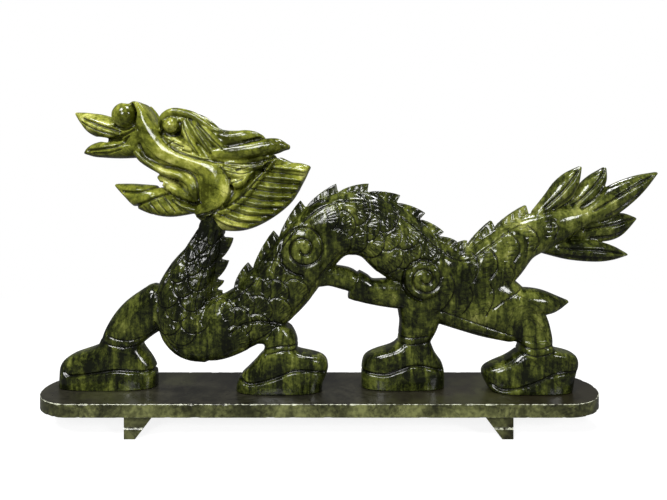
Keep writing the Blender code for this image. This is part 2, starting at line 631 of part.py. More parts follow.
def build_head():
    """Head and mane in a second stone, in the dragon's own frame."""
    pieces = [
        loft("snout", SNOUT, CORE_HALF),
        loft("brow", BROW, CORE_HALF),
        loft("temple", TEMPLE, CORE_HALF),
        loft("cheek", CHEEK, CHEEK_HALF),
        loft("muzzle", MUZZLE, MUZZLE_HALF, taper=EVEN_TAPER),
        loft("lip", LIP, LIP_HALF, taper=EVEN_TAPER),
        loft("lower_lip", LOWER_LIP, LOWER_LIP_HALF),
        loft("tooth_plate", TOOTH, TOOTH_HALF),
        loft("jaw", JAW, JAW_HALF, ends=(ROUND, POINT)),
        loft("mane", MANE, MANE_HALF, ends=(ROUND, POINT), taper=MANE_TAPER),
        loft("lip_leaf_upper", LIP_LEAF_UPPER, LIP_LEAF_HALF, ends=(ROUND, POINT), square=ROUND_SQUARE),
        loft("lip_leaf_lower", LIP_LEAF_LOWER, LIP_LEAF_HALF, ends=(ROUND, POINT), square=ROUND_SQUARE),
        loft("nose_roll", NOSE_ROLL, NOSE_ROLL_HALF),
    ]
    pieces += pair("horn_upper", HORN_UPPER, HORN_HALF, HORN_SET_OUT, sides=LEAF_SIDES,
                   ends=(ROUND, POINT))
    pieces += pair("horn_lower", HORN_LOWER, HORN_HALF, HORN_SET_OUT, sides=LEAF_SIDES)
    for number, leaf in enumerate(EAR_LEAVES):
        pieces += pair(f"ear_leaf_{number}", leaf, EAR_HALF, EAR_SET_OUT, sides=RIDGE_SIDES,
                       square=LEAF_SQUARE)
    pieces += ridge("brow_band", BROW_BAND, RIDGE_SET_OUT)
    for number, lock in enumerate(BROW_LOCKS):
        pieces += ridge(f"brow_lock_{number}", lock, RIDGE_SET_OUT)
    pieces += ridge("eye_leaf", EYE_LEAF, RIDGE_SET_OUT)
    pieces += ridge("jaw_ridge", JAW_RIDGE, RIDGE_SET_OUT)
    pieces += mane_locks()
    for side in (NEAR, FAR):
        pieces.append(ball(f"eye_{side}", EYE_PLACE, side * EYE_SET_OUT, EYE_RADIUS, EYE_RADIUS))
        pieces.append(ball(f"nose_{side}", NOSE_PLACE, side * NOSE_SET_OUT, NOSE_RADIUS, NOSE_RADIUS))
    return unite("head", pieces)


def build_plinth():
    """A slab with half-round ends, its middle plane at its own origin."""
    radius = PLINTH_DEPTH / 2
    points = []
    for end in (1, -1):
        for step in range(ARC_STEPS + 1):
            angle = math.pi * (step / ARC_STEPS - 0.5)
            x = end * (PLINTH_LENGTH / 2 - radius + radius * math.cos(angle))
            points.append((x, end * radius * math.sin(angle)))
    plinth = outline_solid("plinth", points, PLINTH_THICKNESS / 2)
    bevel = plinth.modifiers.new("edge", "BEVEL")
    bevel.width = PLINTH_CHAMFER
    bevel.segments = 1
    bevel.limit_method = "ANGLE"
    bevel.angle_limit = SHARP_ANGLE
    return plinth


def build_cross_foot(name, side):
    """A batten across the plinth: upright outside, slanted inside, its two ends scored half way up."""
    outer = side * FOOT_SPREAD / 2
    profile = [(outer, 0.0), (outer - side * FOOT_SOLE_WIDTH, 0.0),
               (outer - side * FOOT_TOP_WIDTH, FOOT_HEIGHT), (outer, FOOT_HEIGHT)]
    foot = outline_solid(name, profile, FOOT_LENGTH / 2)
    foot.rotation_euler = (math.pi / 2, 0.0, 0.0)
    for end in (NEAR, FAR):
        groove = box_cutter(f"{name}_groove_{end}", (-FOOT_TOP_WIDTH, -FOOT_GROOVE / 2, -FOOT_GROOVE / 2),
                            (FOOT_TOP_WIDTH, FOOT_GROOVE / 2, FOOT_GROOVE / 2))
        groove.location = (outer, end * FOOT_LENGTH / 2, FOOT_GROOVE_HEIGHT)
        groove.rotation_euler = (math.pi / 4, 0.0, 0.0)
        cut(foot, groove, ROOT)
    return foot


def seat_head(body, head):
    """Sink the neck's end into the head with a gap all round, and pin the two stones together."""
    socket = loft("neck_socket", NECK, NECK_HALF, sides=TRUNK_SIDES, steps=NECK_STEPS, grow=SEAT_GAP)
    cut(head, socket, DRAGON)
    end = Vector((NECK[0][0], 0.0, NECK[0][1])) * UNIT
    inner = Vector((NECK[1][0], 0.0, NECK[1][1])) * UNIT
    way = (end - inner).normalized()
    return pin_in_bores("neck_pin", end - way * NECK_PIN_IN_NECK, end + way * NECK_PIN_IN_HEAD,
                        NECK_PIN_DIAMETER, (body, head), DRAGON)


def seat_paws(body, plinth):
    """Flatten the soles a gap above the plinth, and pin each paw to it."""
    corner = Vector((PLINTH_LENGTH, PLINTH_DEPTH, 0.0))
    below = Vector((0.0, 0.0, 2 * PAW_SOLE_ALLOWANCE))
    cut(body, box_cutter("sole_cut", -corner - below, corner), DRAGON)
    pins = []
    for name, (leg, levels, sole, side) in LEGS.items():
        height, toe, heel = levels[-1]
        x = (toe + heel) / 2 * UNIT
        y = side * LEG_SET_OUT
        low = (x, y, -SEAT_GAP - PAW_PIN_IN_PLINTH)
        high = (x, y, PAW_PIN_IN_PAW)
        pins.append(pin_in_bores("paw_pin_" + name, low, high, PAW_PIN_DIAMETER, (body, plinth), DRAGON))
    return pins


def seat_foot(foot, side, plinth):
    """Pin a cross foot to the plinth's underside at two places."""
    pins = []
    x = side * (FOOT_SPREAD - FOOT_SOLE_WIDTH) / 2
    for end, label in ((NEAR, "near"), (FAR, "far")):
        y = end * FOOT_PIN_SPACING / 2
        low = (x, y, FOOT_HEIGHT - FOOT_PIN_IN_FOOT)
        high = (x, y, FOOT_HEIGHT + SEAT_GAP + FOOT_PIN_IN_PLINTH)
        name = f"{foot.name}_pin_{label}"
        pins.append(pin_in_bores(name, low, high, FOOT_PIN_DIAMETER, (foot, plinth), ROOT))
    return pins


def centre_figure():
    """Slide the figure along X so that its box is centred over the origin."""
    bpy.context.view_layer.update()
    ends = [(part.matrix_world @ Vector(corner)).x for part in PARTS.objects if part.type == "MESH"
            for corner in part.bound_box]
    ROOT.location.x = -(min(ends) + max(ends)) / 2


def main():
    """Build every part and stand it on the ground with the whole figure centred over the origin."""
    dark_stone = stone("dark_green_stone", (0.035, 0.060, 0.012), 0.18)
    light_stone = stone("light_green_stone", (0.130, 0.160, 0.035), 0.18)
    mottled_stone = stone("mottled_stone", (0.060, 0.075, 0.030), 0.25)
    steel = stone("pin_steel", (0.55, 0.55, 0.55), 0.35, metallic=1.0)

    body = build_body()
    head = build_head()
    plinth = build_plinth()
    plinth.location.z = FOOT_HEIGHT + SEAT_GAP + PLINTH_THICKNESS / 2
    keep(body, dark_stone, DRAGON)
    keep(head, light_stone, DRAGON)
    keep(plinth, mottled_stone, ROOT)
    for pin in [seat_head(body, head), *seat_paws(body, plinth)]:
        keep(pin, steel, DRAGON)
    for name, side in (("cross_foot_left", -1), ("cross_foot_right", 1)):
        foot = build_cross_foot(name, side)
        keep(foot, mottled_stone, ROOT)
        for pin in seat_foot(foot, side, plinth):
            keep(pin, steel, ROOT)
    centre_figure()


main()
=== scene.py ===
"""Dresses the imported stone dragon: finely carved body and head, worn plinth, cross feet, studio and camera.

Shapes are drawn in the dragon's own side view, in millimetres: x along the plinth, z up from the paws' soles.
Lines read off the photograph are given as its pixels, and seen() lays them on the surface that carries them.
"""

import math

import bmesh
import bpy
import numpy as np
from mathutils import Matrix, Vector


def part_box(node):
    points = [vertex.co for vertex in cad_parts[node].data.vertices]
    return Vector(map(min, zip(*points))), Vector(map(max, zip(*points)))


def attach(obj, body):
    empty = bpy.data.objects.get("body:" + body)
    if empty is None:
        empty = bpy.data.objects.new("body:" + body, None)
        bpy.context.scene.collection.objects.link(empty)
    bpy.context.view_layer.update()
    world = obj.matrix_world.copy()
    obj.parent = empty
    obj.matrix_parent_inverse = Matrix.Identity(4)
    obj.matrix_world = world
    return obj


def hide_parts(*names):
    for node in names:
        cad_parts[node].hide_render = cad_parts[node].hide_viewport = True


bl_info = {
    "name": "Carved stone dragon",
    "version": (1, 0, 0),
    "blender": (4, 5, 0),
    "location": "View3D > Sidebar > Dragon",
    "description": "Carves the dragon's stones, wears the plinth and sets the studio",
    "category": "Object",
}

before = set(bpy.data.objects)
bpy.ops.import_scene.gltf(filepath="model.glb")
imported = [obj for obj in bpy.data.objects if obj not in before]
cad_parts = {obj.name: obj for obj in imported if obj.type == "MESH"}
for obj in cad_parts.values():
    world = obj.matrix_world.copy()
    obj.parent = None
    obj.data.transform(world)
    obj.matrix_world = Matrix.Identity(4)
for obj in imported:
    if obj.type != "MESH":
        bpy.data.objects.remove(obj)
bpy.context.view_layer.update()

MM = 0.001
NEAR = -1
FAR = 1

# The drawing's own origin in the frame: where the dragon is set on the plinth, at the soles
PLINTH_LOW, PLINTH_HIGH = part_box("plinth")
SET_BACK = 0.003
SEAT_GAP = 0.0003
ORIGIN = Vector(((PLINTH_LOW.x + PLINTH_HIGH.x) / 2 - SET_BACK, 0.0, PLINTH_HIGH.z + SEAT_GAP))

# The photograph's view: its size and focal length in pixels, the pixel that depth lines run to, and the eye
PHOTO = (667, 500)
FOCAL = 560.0
VANISHING = (339.0, 174.0)
EYE = (15.6, -373.3, 141.7)

# Spines of the body in the drawing: (x, z, half width)
NECK = [(-66.5, 115.5, 7.5), (-69.5, 103.5, 9), (-75.5, 88, 12), (-83.5, 71.5, 16.5), (-88, 54.5, 19),
        (-82, 39, 19), (-70, 33.5, 17)]
TRUNK = [(-80, 38, 16), (-66, 38.5, 20), (-41.5, 50.5, 20), (-22, 68.5, 20.5), (-6, 89.5, 20),
         (8.5, 104.5, 20.5), (24, 109, 21), (40.5, 105, 21), (56, 93, 22), (72, 81.5, 19), (87.5, 73, 18.5),
         (105, 72.5, 19), (120.5, 84.5, 17.5), (135, 97.5, 14.5), (152, 104.5, 12.5), (168.5, 110.5, 9.5),
         (186, 118.5, 2.5)]
NECK_PLATES = (3.7, 3.05, 2.6, 1.9, 1.05)
TRUNK_PLATES = (1.95, 2.75, 3.87, 4.87, 5.68, 6.4, 7.12, 7.95, 8.85, 9.6, 11.45, 12.68, 13.65)
LEGS = {
    "front_far": ([(-102.5, 55.5, 15), (-117.5, 45.5, 14.5), (-128, 33.5, 13), (-132.5, 20, 12.5)], FAR),
    "front_near": ([(-60.5, 31, 8.5), (-45.5, 37.5, 9), (-31, 39.5, 10.5), (-22.5, 32, 10.5), (-22, 21, 9.5)],
                   NEAR),
    "hind_far": ([(68.5, 59.5, 15), (69, 45, 13.5), (66, 32, 11), (65.5, 20, 10.5)], FAR),
    "hind_near": ([(87, 58.5, 17), (112.5, 51.5, 17.5), (135.5, 45, 16), (144.5, 34, 11.5), (144, 24, 10.5)],
                  NEAR),
}

# Paws are level sections from the ankle down: (height, toe x, heel x)
PAW_FRONT_FAR = [(32, -143, -117), (28, -145, -116.5), (25.5, -150, -115.5), (23.5, -156, -114),
                 (21, -163, -112), (17.5, -168, -109.5), (13, -170.5, -107.4), (8, -171, -106.6),
                 (-1, -171.5, -106.4)]
PAW_FRONT_NEAR = [(32, -33, -15), (27.5, -33.5, -13), (25, -34.5, -8.5), (22.5, -37, 3.5), (19.5, -39.5, 7.5),
                  (14.5, -44.5, 8.5), (9.5, -49.5, 7), (4.5, -51.5, 5), (-1, -52, 4.5)]
PAW_HIND_FAR = [(34, 55.5, 76.5), (31, 55, 76.5), (28, 52.5, 77.5), (25.5, 47.5, 78.5), (23, 39, 79.5),
                (20, 33, 81.5), (15.5, 31, 84.5), (9, 30.5, 86), (-1, 30.5, 86)]
PAW_HIND_NEAR = [(33, 134, 154), (29.5, 134, 155.5), (26.5, 133, 158.5), (24, 130, 169), (20.5, 124, 172),
                 (16.5, 114.5, 172.5), (13, 110, 171.5), (7.5, 110.5, 170), (-1, 115, 168.5)]

# The rump over the hind legs, the stepped arm under the arch, the spur on the hind leg and the tail's leaves
RUMP = [(71, 62, 13), (87, 63.5, 15.5), (103.5, 61, 18.5), (119.5, 56, 20), (132.5, 49.5, 16), (144, 41, 9.5)]
UPPER_ARM = [(-10, 81.5, 5), (-0.5, 75, 7.5), (9.5, 74.5, 7), (19.5, 72.5, 7.5), (24.5, 70.5, 7)]
FOREARM = [(25.5, 68.5, 9.8), (30, 66.5, 9.4), (36, 64, 8.2), (45.5, 63, 9), (56.5, 62.5, 9.8), (68.5, 61, 8)]
SPUR = [(115.5, 55.5, 6), (128.5, 57.5, 8.5), (142, 57.5, 9), (154.5, 56.5, 7), (167, 57.5, 0.8)]
TAIL_LEAVES = [
    [(146, 115, 3.5), (155.5, 123, 6), (163.5, 130.5, 8), (169.5, 138.5, 6), (175.5, 146.5, 0.8)],
    [(164.5, 117, 4), (175, 123.5, 6), (183.5, 131.5, 7.5), (189.5, 139, 5.5), (193.5, 146, 0.8)],
    [(176.5, 112, 6), (190.5, 120.5, 9.5), (202.5, 128, 9), (214.5, 135.5, 6), (226, 142.5, 0.8)],
    [(170, 102.5, 5.5), (184.5, 104.5, 8.5), (197, 106.5, 9), (206.5, 110, 6), (214, 112, 0.8)],
    [(151, 93.5, 4.5), (167.5, 91.5, 6.5), (184.5, 90.5, 7), (196, 89.5, 5), (206, 88.5, 0.8)],
]

# The head's core
SNOUT = [(-125, 175, 8), (-115, 166.5, 12), (-104, 160, 13.5), (-89.5, 153.5, 14), (-73, 145.5, 15)]
BROW = [(-98.5, 174.5, 7.5), (-88, 175.5, 8), (-76, 168, 8), (-61.5, 163, 8), (-46.5, 163.5, 7)]
CHEEK = [(-85, 141.5, 8), (-73, 135, 15), (-62.5, 128.5, 13), (-56, 122, 6)]
TEMPLE = [(-92, 159, 9), (-72, 153, 12.5), (-55, 147, 13.5), (-38, 148, 8.5), (-30, 150.5, 4)]

# The muzzle's sweep from the nose round the cheek, the lips, the tooth plate and the jaw
MUZZLE = [(-115, 187, 2), (-112, 181.5, 3.2), (-110, 174.5, 4.8), (-105.5, 166.5, 6.2), (-99, 158, 6),
          (-90, 153, 5.5), (-78.5, 149, 5.5), (-67.5, 144.5, 7), (-63.5, 136.5, 9), (-64.5, 127.5, 9.5),
          (-69.5, 120.5, 6.5), (-75, 116, 3)]
LIP = [(-116, 156, 3), (-111.5, 151.5, 3.6), (-104, 147, 3.9), (-96, 143, 3.9), (-87, 140.5, 3.9),
       (-81, 135.5, 3.5), (-79, 129, 3), (-76, 124.5, 1.3)]
LOWER_LIP = [(-92.5, 125.5, 1.6), (-84, 120.5, 2.6), (-77, 118, 2.9), (-71.5, 119.5, 2)]
TOOTH = [(-102.5, 140, 2), (-95, 134, 4.2), (-86.5, 128.5, 3.9), (-77, 123, 1.3)]
JAW = [(-80, 118.5, 3.2), (-94.5, 120.5, 7.5), (-105, 124, 9.5), (-115, 127, 8.2), (-123, 130.5, 5.2),
       (-132.5, 134.5, 0.8)]
LIP_LEAF_UPPER = [(-121.5, 170, 5), (-134.5, 171.5, 7.5), (-145.5, 174.5, 7.5), (-153, 178.5, 4.5),
                  (-159, 182, 0.8)]
LIP_LEAF_LOWER = [(-116, 159, 6.5), (-129.5, 158, 6), (-141, 158, 5.5), (-148, 157, 4), (-153, 155.5, 0.8)]

# The horns, the ears' leaves, the nose's roll, the brow with its locks and the ridge behind the cheek
HORN_UPPER = [(-66, 167.5, 3.2), (-54.5, 165.5, 3.6), (-46, 166.5, 3.9), (-38.5, 166.5, 2.7),
              (-34.5, 165.5, 0.6)]
HORN_LOWER = [(-65.5, 155, 4.2), (-55, 156, 5.4), (-44.5, 157, 6), (-34.5, 159, 5.6), (-25, 160.5, 4.5),
              (-19.5, 160, 2)]
EAR_LEAVES = [[(-59, 148.5, 1.4), (-47, 146.5, 2.6), (-36.5, 147, 2.6), (-28, 150, 0.8)],
              [(-63, 145.5, 2), (-54, 142, 3.9), (-44.5, 141.5, 2.3), (-39, 143.5, 0.6)],
              [(-56, 137, 1.6), (-49.5, 135.5, 3.2), (-43, 140.5, 1.3)]]
NOSE_ROLL = [(-122, 188, 1.6), (-116.5, 187, 2.1), (-113, 181.5, 2.3), (-113.5, 175, 2.2), (-117, 169.5, 2)]
BROW_BAND = [(-99.5, 169.5, 1.3), (-99.5, 175.5, 2), (-96.5, 180, 2.3), (-90.5, 182, 2.5), (-80, 180, 2.5),
             (-73, 176, 2.3), (-67, 171.5, 1.9), (-60, 169, 1.3)]
BROW_LOCKS = [[(-86.5, 176.5, 1.3), (-83, 167.5, 2.2), (-78.5, 160, 2.2), (-72, 152.5, 1)],
              [(-82, 176.5, 1.3), (-76, 168, 2.4), (-69.5, 160, 2.4), (-64, 152.5, 1)],
              [(-77.5, 175.5, 1.3), (-70, 169, 2.6), (-64, 162, 2.6), (-57.5, 157, 1)]]
EYE_LEAF = [(-98, 166.5, 1.3), (-93, 163.5, 2.9), (-86.5, 160, 2.6), (-80.5, 157, 1)]
JAW_RIDGE = [(-25.5, 151, 1.3), (-38, 136.5, 2.2), (-45.5, 126.5, 2.3), (-53.5, 120.5, 2.3), (-64, 115.5, 2)]

# The mane: a plate, and locks over it from their roots along the ridge to their tips along the plate's edge
MANE = [(-76, 117, 5), (-65.5, 113.5, 8.5), (-50.5, 117, 13.5), (-36, 126, 15.5), (-22, 136.5, 14),
        (-10, 143.5, 6.5), (-3.5, 146.5, 0.8)]
LOCK_COUNT = 8
LOCK_ROOTS = [(-32, 147, 2.4), (-46.5, 127.5, 2.7), (-66, 115, 2.4)]
LOCK_MIDDLES = [(-19.5, 145.5, 2.6), (-33, 124.5, 2.9), (-56, 109.5, 2.5)]
LOCK_TIPS = [(-7, 143.5, 1.8), (-18, 124, 2.2), (-43.5, 107, 1.8)]

PAWS = {"front_far": PAW_FRONT_FAR, "front_near": PAW_FRONT_NEAR, "hind_far": PAW_HIND_FAR,
        "hind_near": PAW_HIND_NEAR}
NAPE = [(-46, 151, 6), (-34, 150.5, 5.5), (-24, 149, 4), (-13, 146.5, 1.5)]

# Round places: (x, z, radius)
EYE_BALL = (-93, 173, 5.2)
NOSE_BALL = (-124.5, 180, 8.6)
SHOULDER_CURL = (-7.0, 93.5, 16.0)
HIP_CURL = (70.5, 74.5, 13.6)

# Half thicknesses of the body's forms, the arm's blunt ends, and how far forms stand off the middle plane
TRUNK_HALF = 15.5
NECK_HALF = 15.0
RUMP_HALF = 14.5
UPPER_ARM_HALF = 9.5
FOREARM_HALF = 10.5
ARM_TIP = 0.2
FOREARM_TIP = 0.15
SPUR_HALF = 11.0
SPUR_OUT = -2.5
LEG_HALF = 11.0
PAW_HALF = 11.8
LEG_OUT = 3.5
LEAF_HALF = 7.5
LEAF_OUT = 2.0
CURL_HALF = 5.0
CURL_OUT = 12.2

# Half thicknesses of the head's forms, and how far the paired ones stand off the middle plane
HEAD_CORE = [(SNOUT, 12.0), (BROW, 12.5), (TEMPLE, 11.5), (CHEEK, 14.0), (NAPE, 10.0)]
MANE_HALF = 11.0
LOCK_HALF = 12.8
LIP_LEAF_HALF = 9.5
MUZZLE_HALF = 14.2
MUZZLE_ROOF_HALF = 2.9
MUZZLE_ROOF_OUT = 13.6
LIP_HALF = 14.8
TOOTH_HALF = 11.5
LOWER_LIP_HALF = 13.5
JAW_HALF = 12.5
NOSE_ROLL_HALF = 11.5
HORN_UPPER_HALF = 5.5
HORN_UPPER_OUT = 7.5
HORN_LOWER_HALF = 6.5
HORN_LOWER_OUT = 8.0
EAR_HALF = 3.5
EAR_OUT = 11.0
EYE_HALF = 5.4
EYE_OUT = 11.2
NOSE_BALL_HALF = 8.8
NOSE_BALL_OUT = 6.0
BROW_RIDGE_OUT = 11.6
EYE_LEAF_OUT = 11.4
JAW_RIDGE_OUT = 11.8

# Rows of scales: their place across the body and their shift along it, as shares
SCALE_ROWS = ((-0.46, 0.0), (0.0, 0.5), (0.46, 0.0))
SCALE_HEIGHT = 0.92
SCALE_SPANS = (("trunk", TRUNK, 1.6, 9.5), ("neck", NECK, 1.0, 4.6))
SCALE_CLEAR = 18.0
SCALE_SEED = 7
SCALE_LEAST = 0.93
SCALE_MOST = 1.07

# One scale's marks, as shares of its length and height
ARC_ANGLES = [math.radians(a) for a in range(-90, 91, 15)]
SCALE_ARC = [[(0.55 * math.cos(a) - 0.05, 0.5 * math.sin(a)) for a in ARC_ANGLES]]
SCALE_STEP = [[(x + 0.17, z) for x, z in SCALE_ARC[0]]]
SCALE_HATCH = [[(-0.06, z * 0.62), (0.32, z)] for z in (-0.30, -0.18, -0.06, 0.06, 0.18, 0.30)]

# The crest's lift over the body, and one plate's hatch cuts as shares of its length and height
CREST_LIFT = 0.2
CREST_CUTS = [[(x - 0.5, 0.1), (x - 0.42, 0.75)] for x in (0.3, 0.5, 0.7, 0.9)]

# Grooves that wind into a curl, in shares of its radius, millimetres, turns and radians
CURL_REACH = 1.1
CURL_EYE = 2.4
CURL_TURNS = 2.15
CURL_START = math.radians(-95)
CLOCKWISE = -1

# Lines along a spine: a share of its half width and the spans where the line begins and ends
LEAF_RIBS = ((0.2, 0.5, 3.6), (-0.62, 0.8, 2.8))
TRUNK_LINES = ((0.74, 1.7, 13.2), (-0.8, 1.5, 7.2))
NECK_LINES = ((0.6, 0.8, 4.4), (-0.72, 0.8, 5.4))

# Depths of the surfaces that carry the lines read off the photograph
FLANK_DEPTH = -13.0
BELLY_DEPTH = -14.0
ANKLE_LINE_DEPTH = -12.0
LIP_DEPTH = -14.5
FACE_DEPTH = -13.5
HORN_DEPTH = -12.5
JAW_DEPTH = -12.0
LIP_LEAF_DEPTH = -9.0
EYE_DEPTH = -14.0

# Lines of the body, in the photograph's pixels
FORELEG_LINE = [(231, 333), (240, 326), (250, 323), (258, 321.5), (270, 323), (285, 327), (291, 329)]
PAW_LINES = [
    [(58, 377), (64, 380), (80, 378.5), (100, 375.5), (115, 374), (135, 376), (152, 377)],
    [(238, 379), (247, 384), (262, 382), (278, 377), (292, 371.5), (308, 371), (324, 374)],
    [(364, 377), (375, 378), (388, 378), (400, 374), (412, 370), (425, 370), (443, 375)],
    [(492, 386), (502, 390), (518, 388), (534, 383), (550, 376), (562, 373), (578, 374)],
]
BELLY_LINE = [(441, 313), (460, 319), (480, 326), (500, 333), (515, 338)]
ANKLES = [
    [(98, 345), (112, 349), (125, 350.5), (137, 349)], [(103, 338), (115, 342), (128, 343), (139, 340)],
    [(264, 350), (280, 346), (297, 346)], [(266, 355), (282, 351), (299, 351)],
    [(397, 339), (412, 341), (429, 339)], [(397, 346), (412, 348), (429, 346)],
    [(519, 346), (536, 349), (554, 346)], [(519, 353), (537, 356), (556, 352)],
]

# Crescents of the rump and the tail, each from its upper end to its lower one
RUMP_ARCS = [
    [(450, 274), (454, 282), (454, 292), (449, 303), (442, 313)],
    [(474, 254), (478, 262), (478, 272), (473, 282)],
    [(491, 250), (497, 259), (497, 269), (490, 279)], [(512, 234), (519, 243), (520, 253), (514, 262)],
    [(529, 226), (537, 234), (540, 244), (535, 252)], [(555, 219), (560, 228), (557, 238)],
    [(470, 287), (473, 296), (469, 306), (463, 315)], [(490, 284), (494, 294), (491, 306), (486, 316)],
    [(511, 266), (516, 275), (513, 284)],
]
THIGH_LINE = [(493, 309), (504, 301), (515, 295), (522, 291)]

# Cuts behind a crescent: where they start and end beside it, their slant, and their places along a span
HATCH_START = 3.0
HATCH_END = 11.0
HATCH_RISE = 0.5
HATCH_PARTS = (0.3, 0.8)

# Grooves of the head, in the photograph's pixels, and the rings about its round places
LIP_GROOVE = [(137, 144), (141.5, 153.5), (149.5, 160), (159.5, 165), (173.5, 168), (185, 171.5), (193, 177),
              (196.5, 185.5), (197, 200)]
BROW_GROOVE = [(160, 132), (165.5, 141.5), (175, 149.5), (188, 155.5), (202.5, 159.5), (229.5, 163.5),
               (250, 163), (266, 159), (281, 154)]
CHEEK_GROOVE = [(222, 168), (229.5, 181), (230.5, 194), (224, 206), (213, 213)]
HORN_GROOVE = [(228, 145.5), (242, 142.5), (260, 138.5)]
LIP_LEAF_GROOVES = [[(83, 118.5), (101, 126), (119, 132)], [(92, 138), (107, 139.5), (124, 135), (134, 130)],
                    [(87, 150.5), (105, 148.5), (118, 145), (129, 136)]]
RIDGE_GROOVE = [(269, 162.5), (250, 187.5), (232.5, 202.5), (213.5, 212), (196, 217)]
JAW_GROOVES = [[(132, 208), (146, 202), (159, 196.5), (168, 193.5)],
               [(121, 192), (138.5, 192), (151, 188), (160, 183)], [(173, 200), (188, 205), (201, 202.5)]]
EYE_RING = (*EYE_BALL[:2], 6.2)
EYE_SWEEP = (-200, 20)
NOSE_RING = (*NOSE_BALL[:2], 9.2)
NOSE_SWEEP = (-130, 95)

# Fine lines of the head, in the photograph's pixels
EAR_LINES = [[(226, 171), (240, 174), (250, 172)], [(236, 170), (247, 168)], [(232, 183), (243, 179)],
             [(231, 166), (246, 166.5), (262, 164)]]
BEARD_LINES = [[(150, 203), (158, 214)], [(157, 200), (166, 213)], [(164, 198), (174, 212)],
               [(171, 200), (181, 212)], [(143, 206), (150, 216)]]
LIP_LEAF_LINES = [[(80, 122), (95, 130), (115, 136)], [(92, 153), (108, 153), (122, 149)]]
EYE_LINES = [[(166, 139), (173, 143), (183, 147)], [(167, 144.5), (174, 141)]]
BROW_LINES = [[(182, 122), (188, 138), (197, 153)], [(189, 119), (199, 136), (211, 154)],
              [(198, 124), (209, 136), (222, 149)]]

# Lighter and darker patches of the stones, mostly their own tone, some lighter ones painted highlights as on
# the cheek's rim, the trunk's top and the tail's root: a spot's pixel in the photograph, its reach and its
# shift of tone
HEAD_PATCHES = [
    (122, 115, 13, -0.12), (147, 128, 14, -0.05), (165, 171, 13, 0.10), (187, 182, 8, 0.08),
    (100, 124, 22, 0.06), (206, 188, 13, -0.06), (175, 160, 22, 0.04), (226, 188, 6, 0.12),
    (260, 148, 24, -0.12), (231, 150, 9, -0.10), (240, 173, 10, 0.12), (278, 178, 16, -0.12),
    (222, 226, 14, 0.16), (150, 195, 14, 0.05), (170, 186, 9, 0.16), (172, 120, 9, 0.05),
    (262, 210, 14, -0.05), (200, 140, 12, -0.06), (196, 113, 12, -0.06), (222, 136, 16, -0.10),
    (120, 104, 8, 0.05),
]
BODY_PATCHES = [
    (525, 213, 26, 0.13), (575, 200, 30, 0.05), (545, 340, 18, 0.05), (298, 243, 13, 0.08),
    (388, 293, 11, 0.12), (350, 205, 18, 0.06), (130, 330, 12, 0.05), (190, 340, 14, -0.05),
    (185, 300, 16, -0.05), (345, 225, 14, -0.05), (470, 290, 16, -0.05), (520, 300, 16, 0.05),
    (225, 270, 16, -0.06), (545, 305, 14, 0.05), (250, 285, 14, 0.05), (425, 268, 22, 0.08),
    (482, 300, 28, 0.06), (605, 195, 36, 0.08), (200, 250, 22, -0.08), (500, 255, 20, 0.03),
]

# Forms: how an end closes, points round a section, steps to a span and how square the sections are
ROUND = 0.6
POINT = 0.0
SIDES = 36
STEPS = 8
SQUARE = 2.6
PAW_SQUARE = 3.0
LEAST_HALF = 0.5
ANKLE_DEPTH = 0.82
CAP_ANGLES = [math.radians(a) for a in (20, 40, 58, 73, 84)]
STROKE_STEPS = 6
SPIRAL_STEPS = 40

# Finishing of the carved stones
SOFTEN_ROUNDS = 5
STEP_WIDTH = 3.4 * MM
STEP_DEPTH = 0.8 * MM
# Spread and strength of the hollows, which set the painted shade in hollows and the painted highlights on
# sharp edges
HOLLOW_ROUNDS = 2
HOLLOW_KEPT = 0.4
HOLLOW_GAIN = 4.0
TONE_STEPS = (0.0, 0.08, 0.17, 0.28)
BODY_PALETTE = ("deep", "moss", "olive", "lichen")
HEAD_PALETTE = ("head_deep", "head_moss", "head_olive", "head_pale")

# The plinth: its outline's step, its wear, how level flanks and flats are, and the green of the feet
OUTLINE_STEP = 1.6 * MM
WEAR_SEED = 3
WEAR_LEAST = 0.25
WEAR_VARIES = 0.15
CHIP_EVERY = 14
CHIP_POINTS = 4
CHIP_LEAST = 0.5
FLANK_RISE = 0.2
FLAT_RISE = 0.95
FOOT_GREEN = 0.5
PALE_CHIP = (0.42, 0.43, 0.33)

# The studio: the floor and its shades, the soft light round it, and the camera (sensor in millimetres)
FLOOR_REACH = 6.0
SENSOR = 36.0
NEAREST = 0.01
FLOOR_DIM = (0.05, 0.05, 0.05, 1.0)
FLOOR_MATT = (0.25, 0.25, 0.25, 1.0)
FLOOR_GLOW = 0.86
FLOOR_FADE = (0.25, 0.6)
MIRRORED = 0.1
SOFT_LIGHT = 0.06

# Lamps: place and aim in metres, size in metres and power in watts
LAMPS = {
    "key": ((-0.40, -0.60, 0.85), (-0.02, 0.0, 0.1), 0.30, 10.0),
    "front": ((-0.18, -0.82, 0.44), (-0.02, 0.0, 0.1), 0.22, 4.5),
    "top": ((0.10, -0.15, 0.95), (0.0, 0.0, 0.1), 0.18, 4.0),
    "back": ((0.30, 0.65, 1.30), (0.0, 0.0, 0.1), 0.25, 7.0),
    "fill": ((0.65, -0.75, 0.45), (0.0, 0.0, 0.1), 0.22, 5.0),
}


def measure(label, words, value, least=0.0):
    """A length property with its label, description and default."""
    return bpy.props.FloatProperty(name=label, description=words, default=value, min=least, unit="LENGTH")


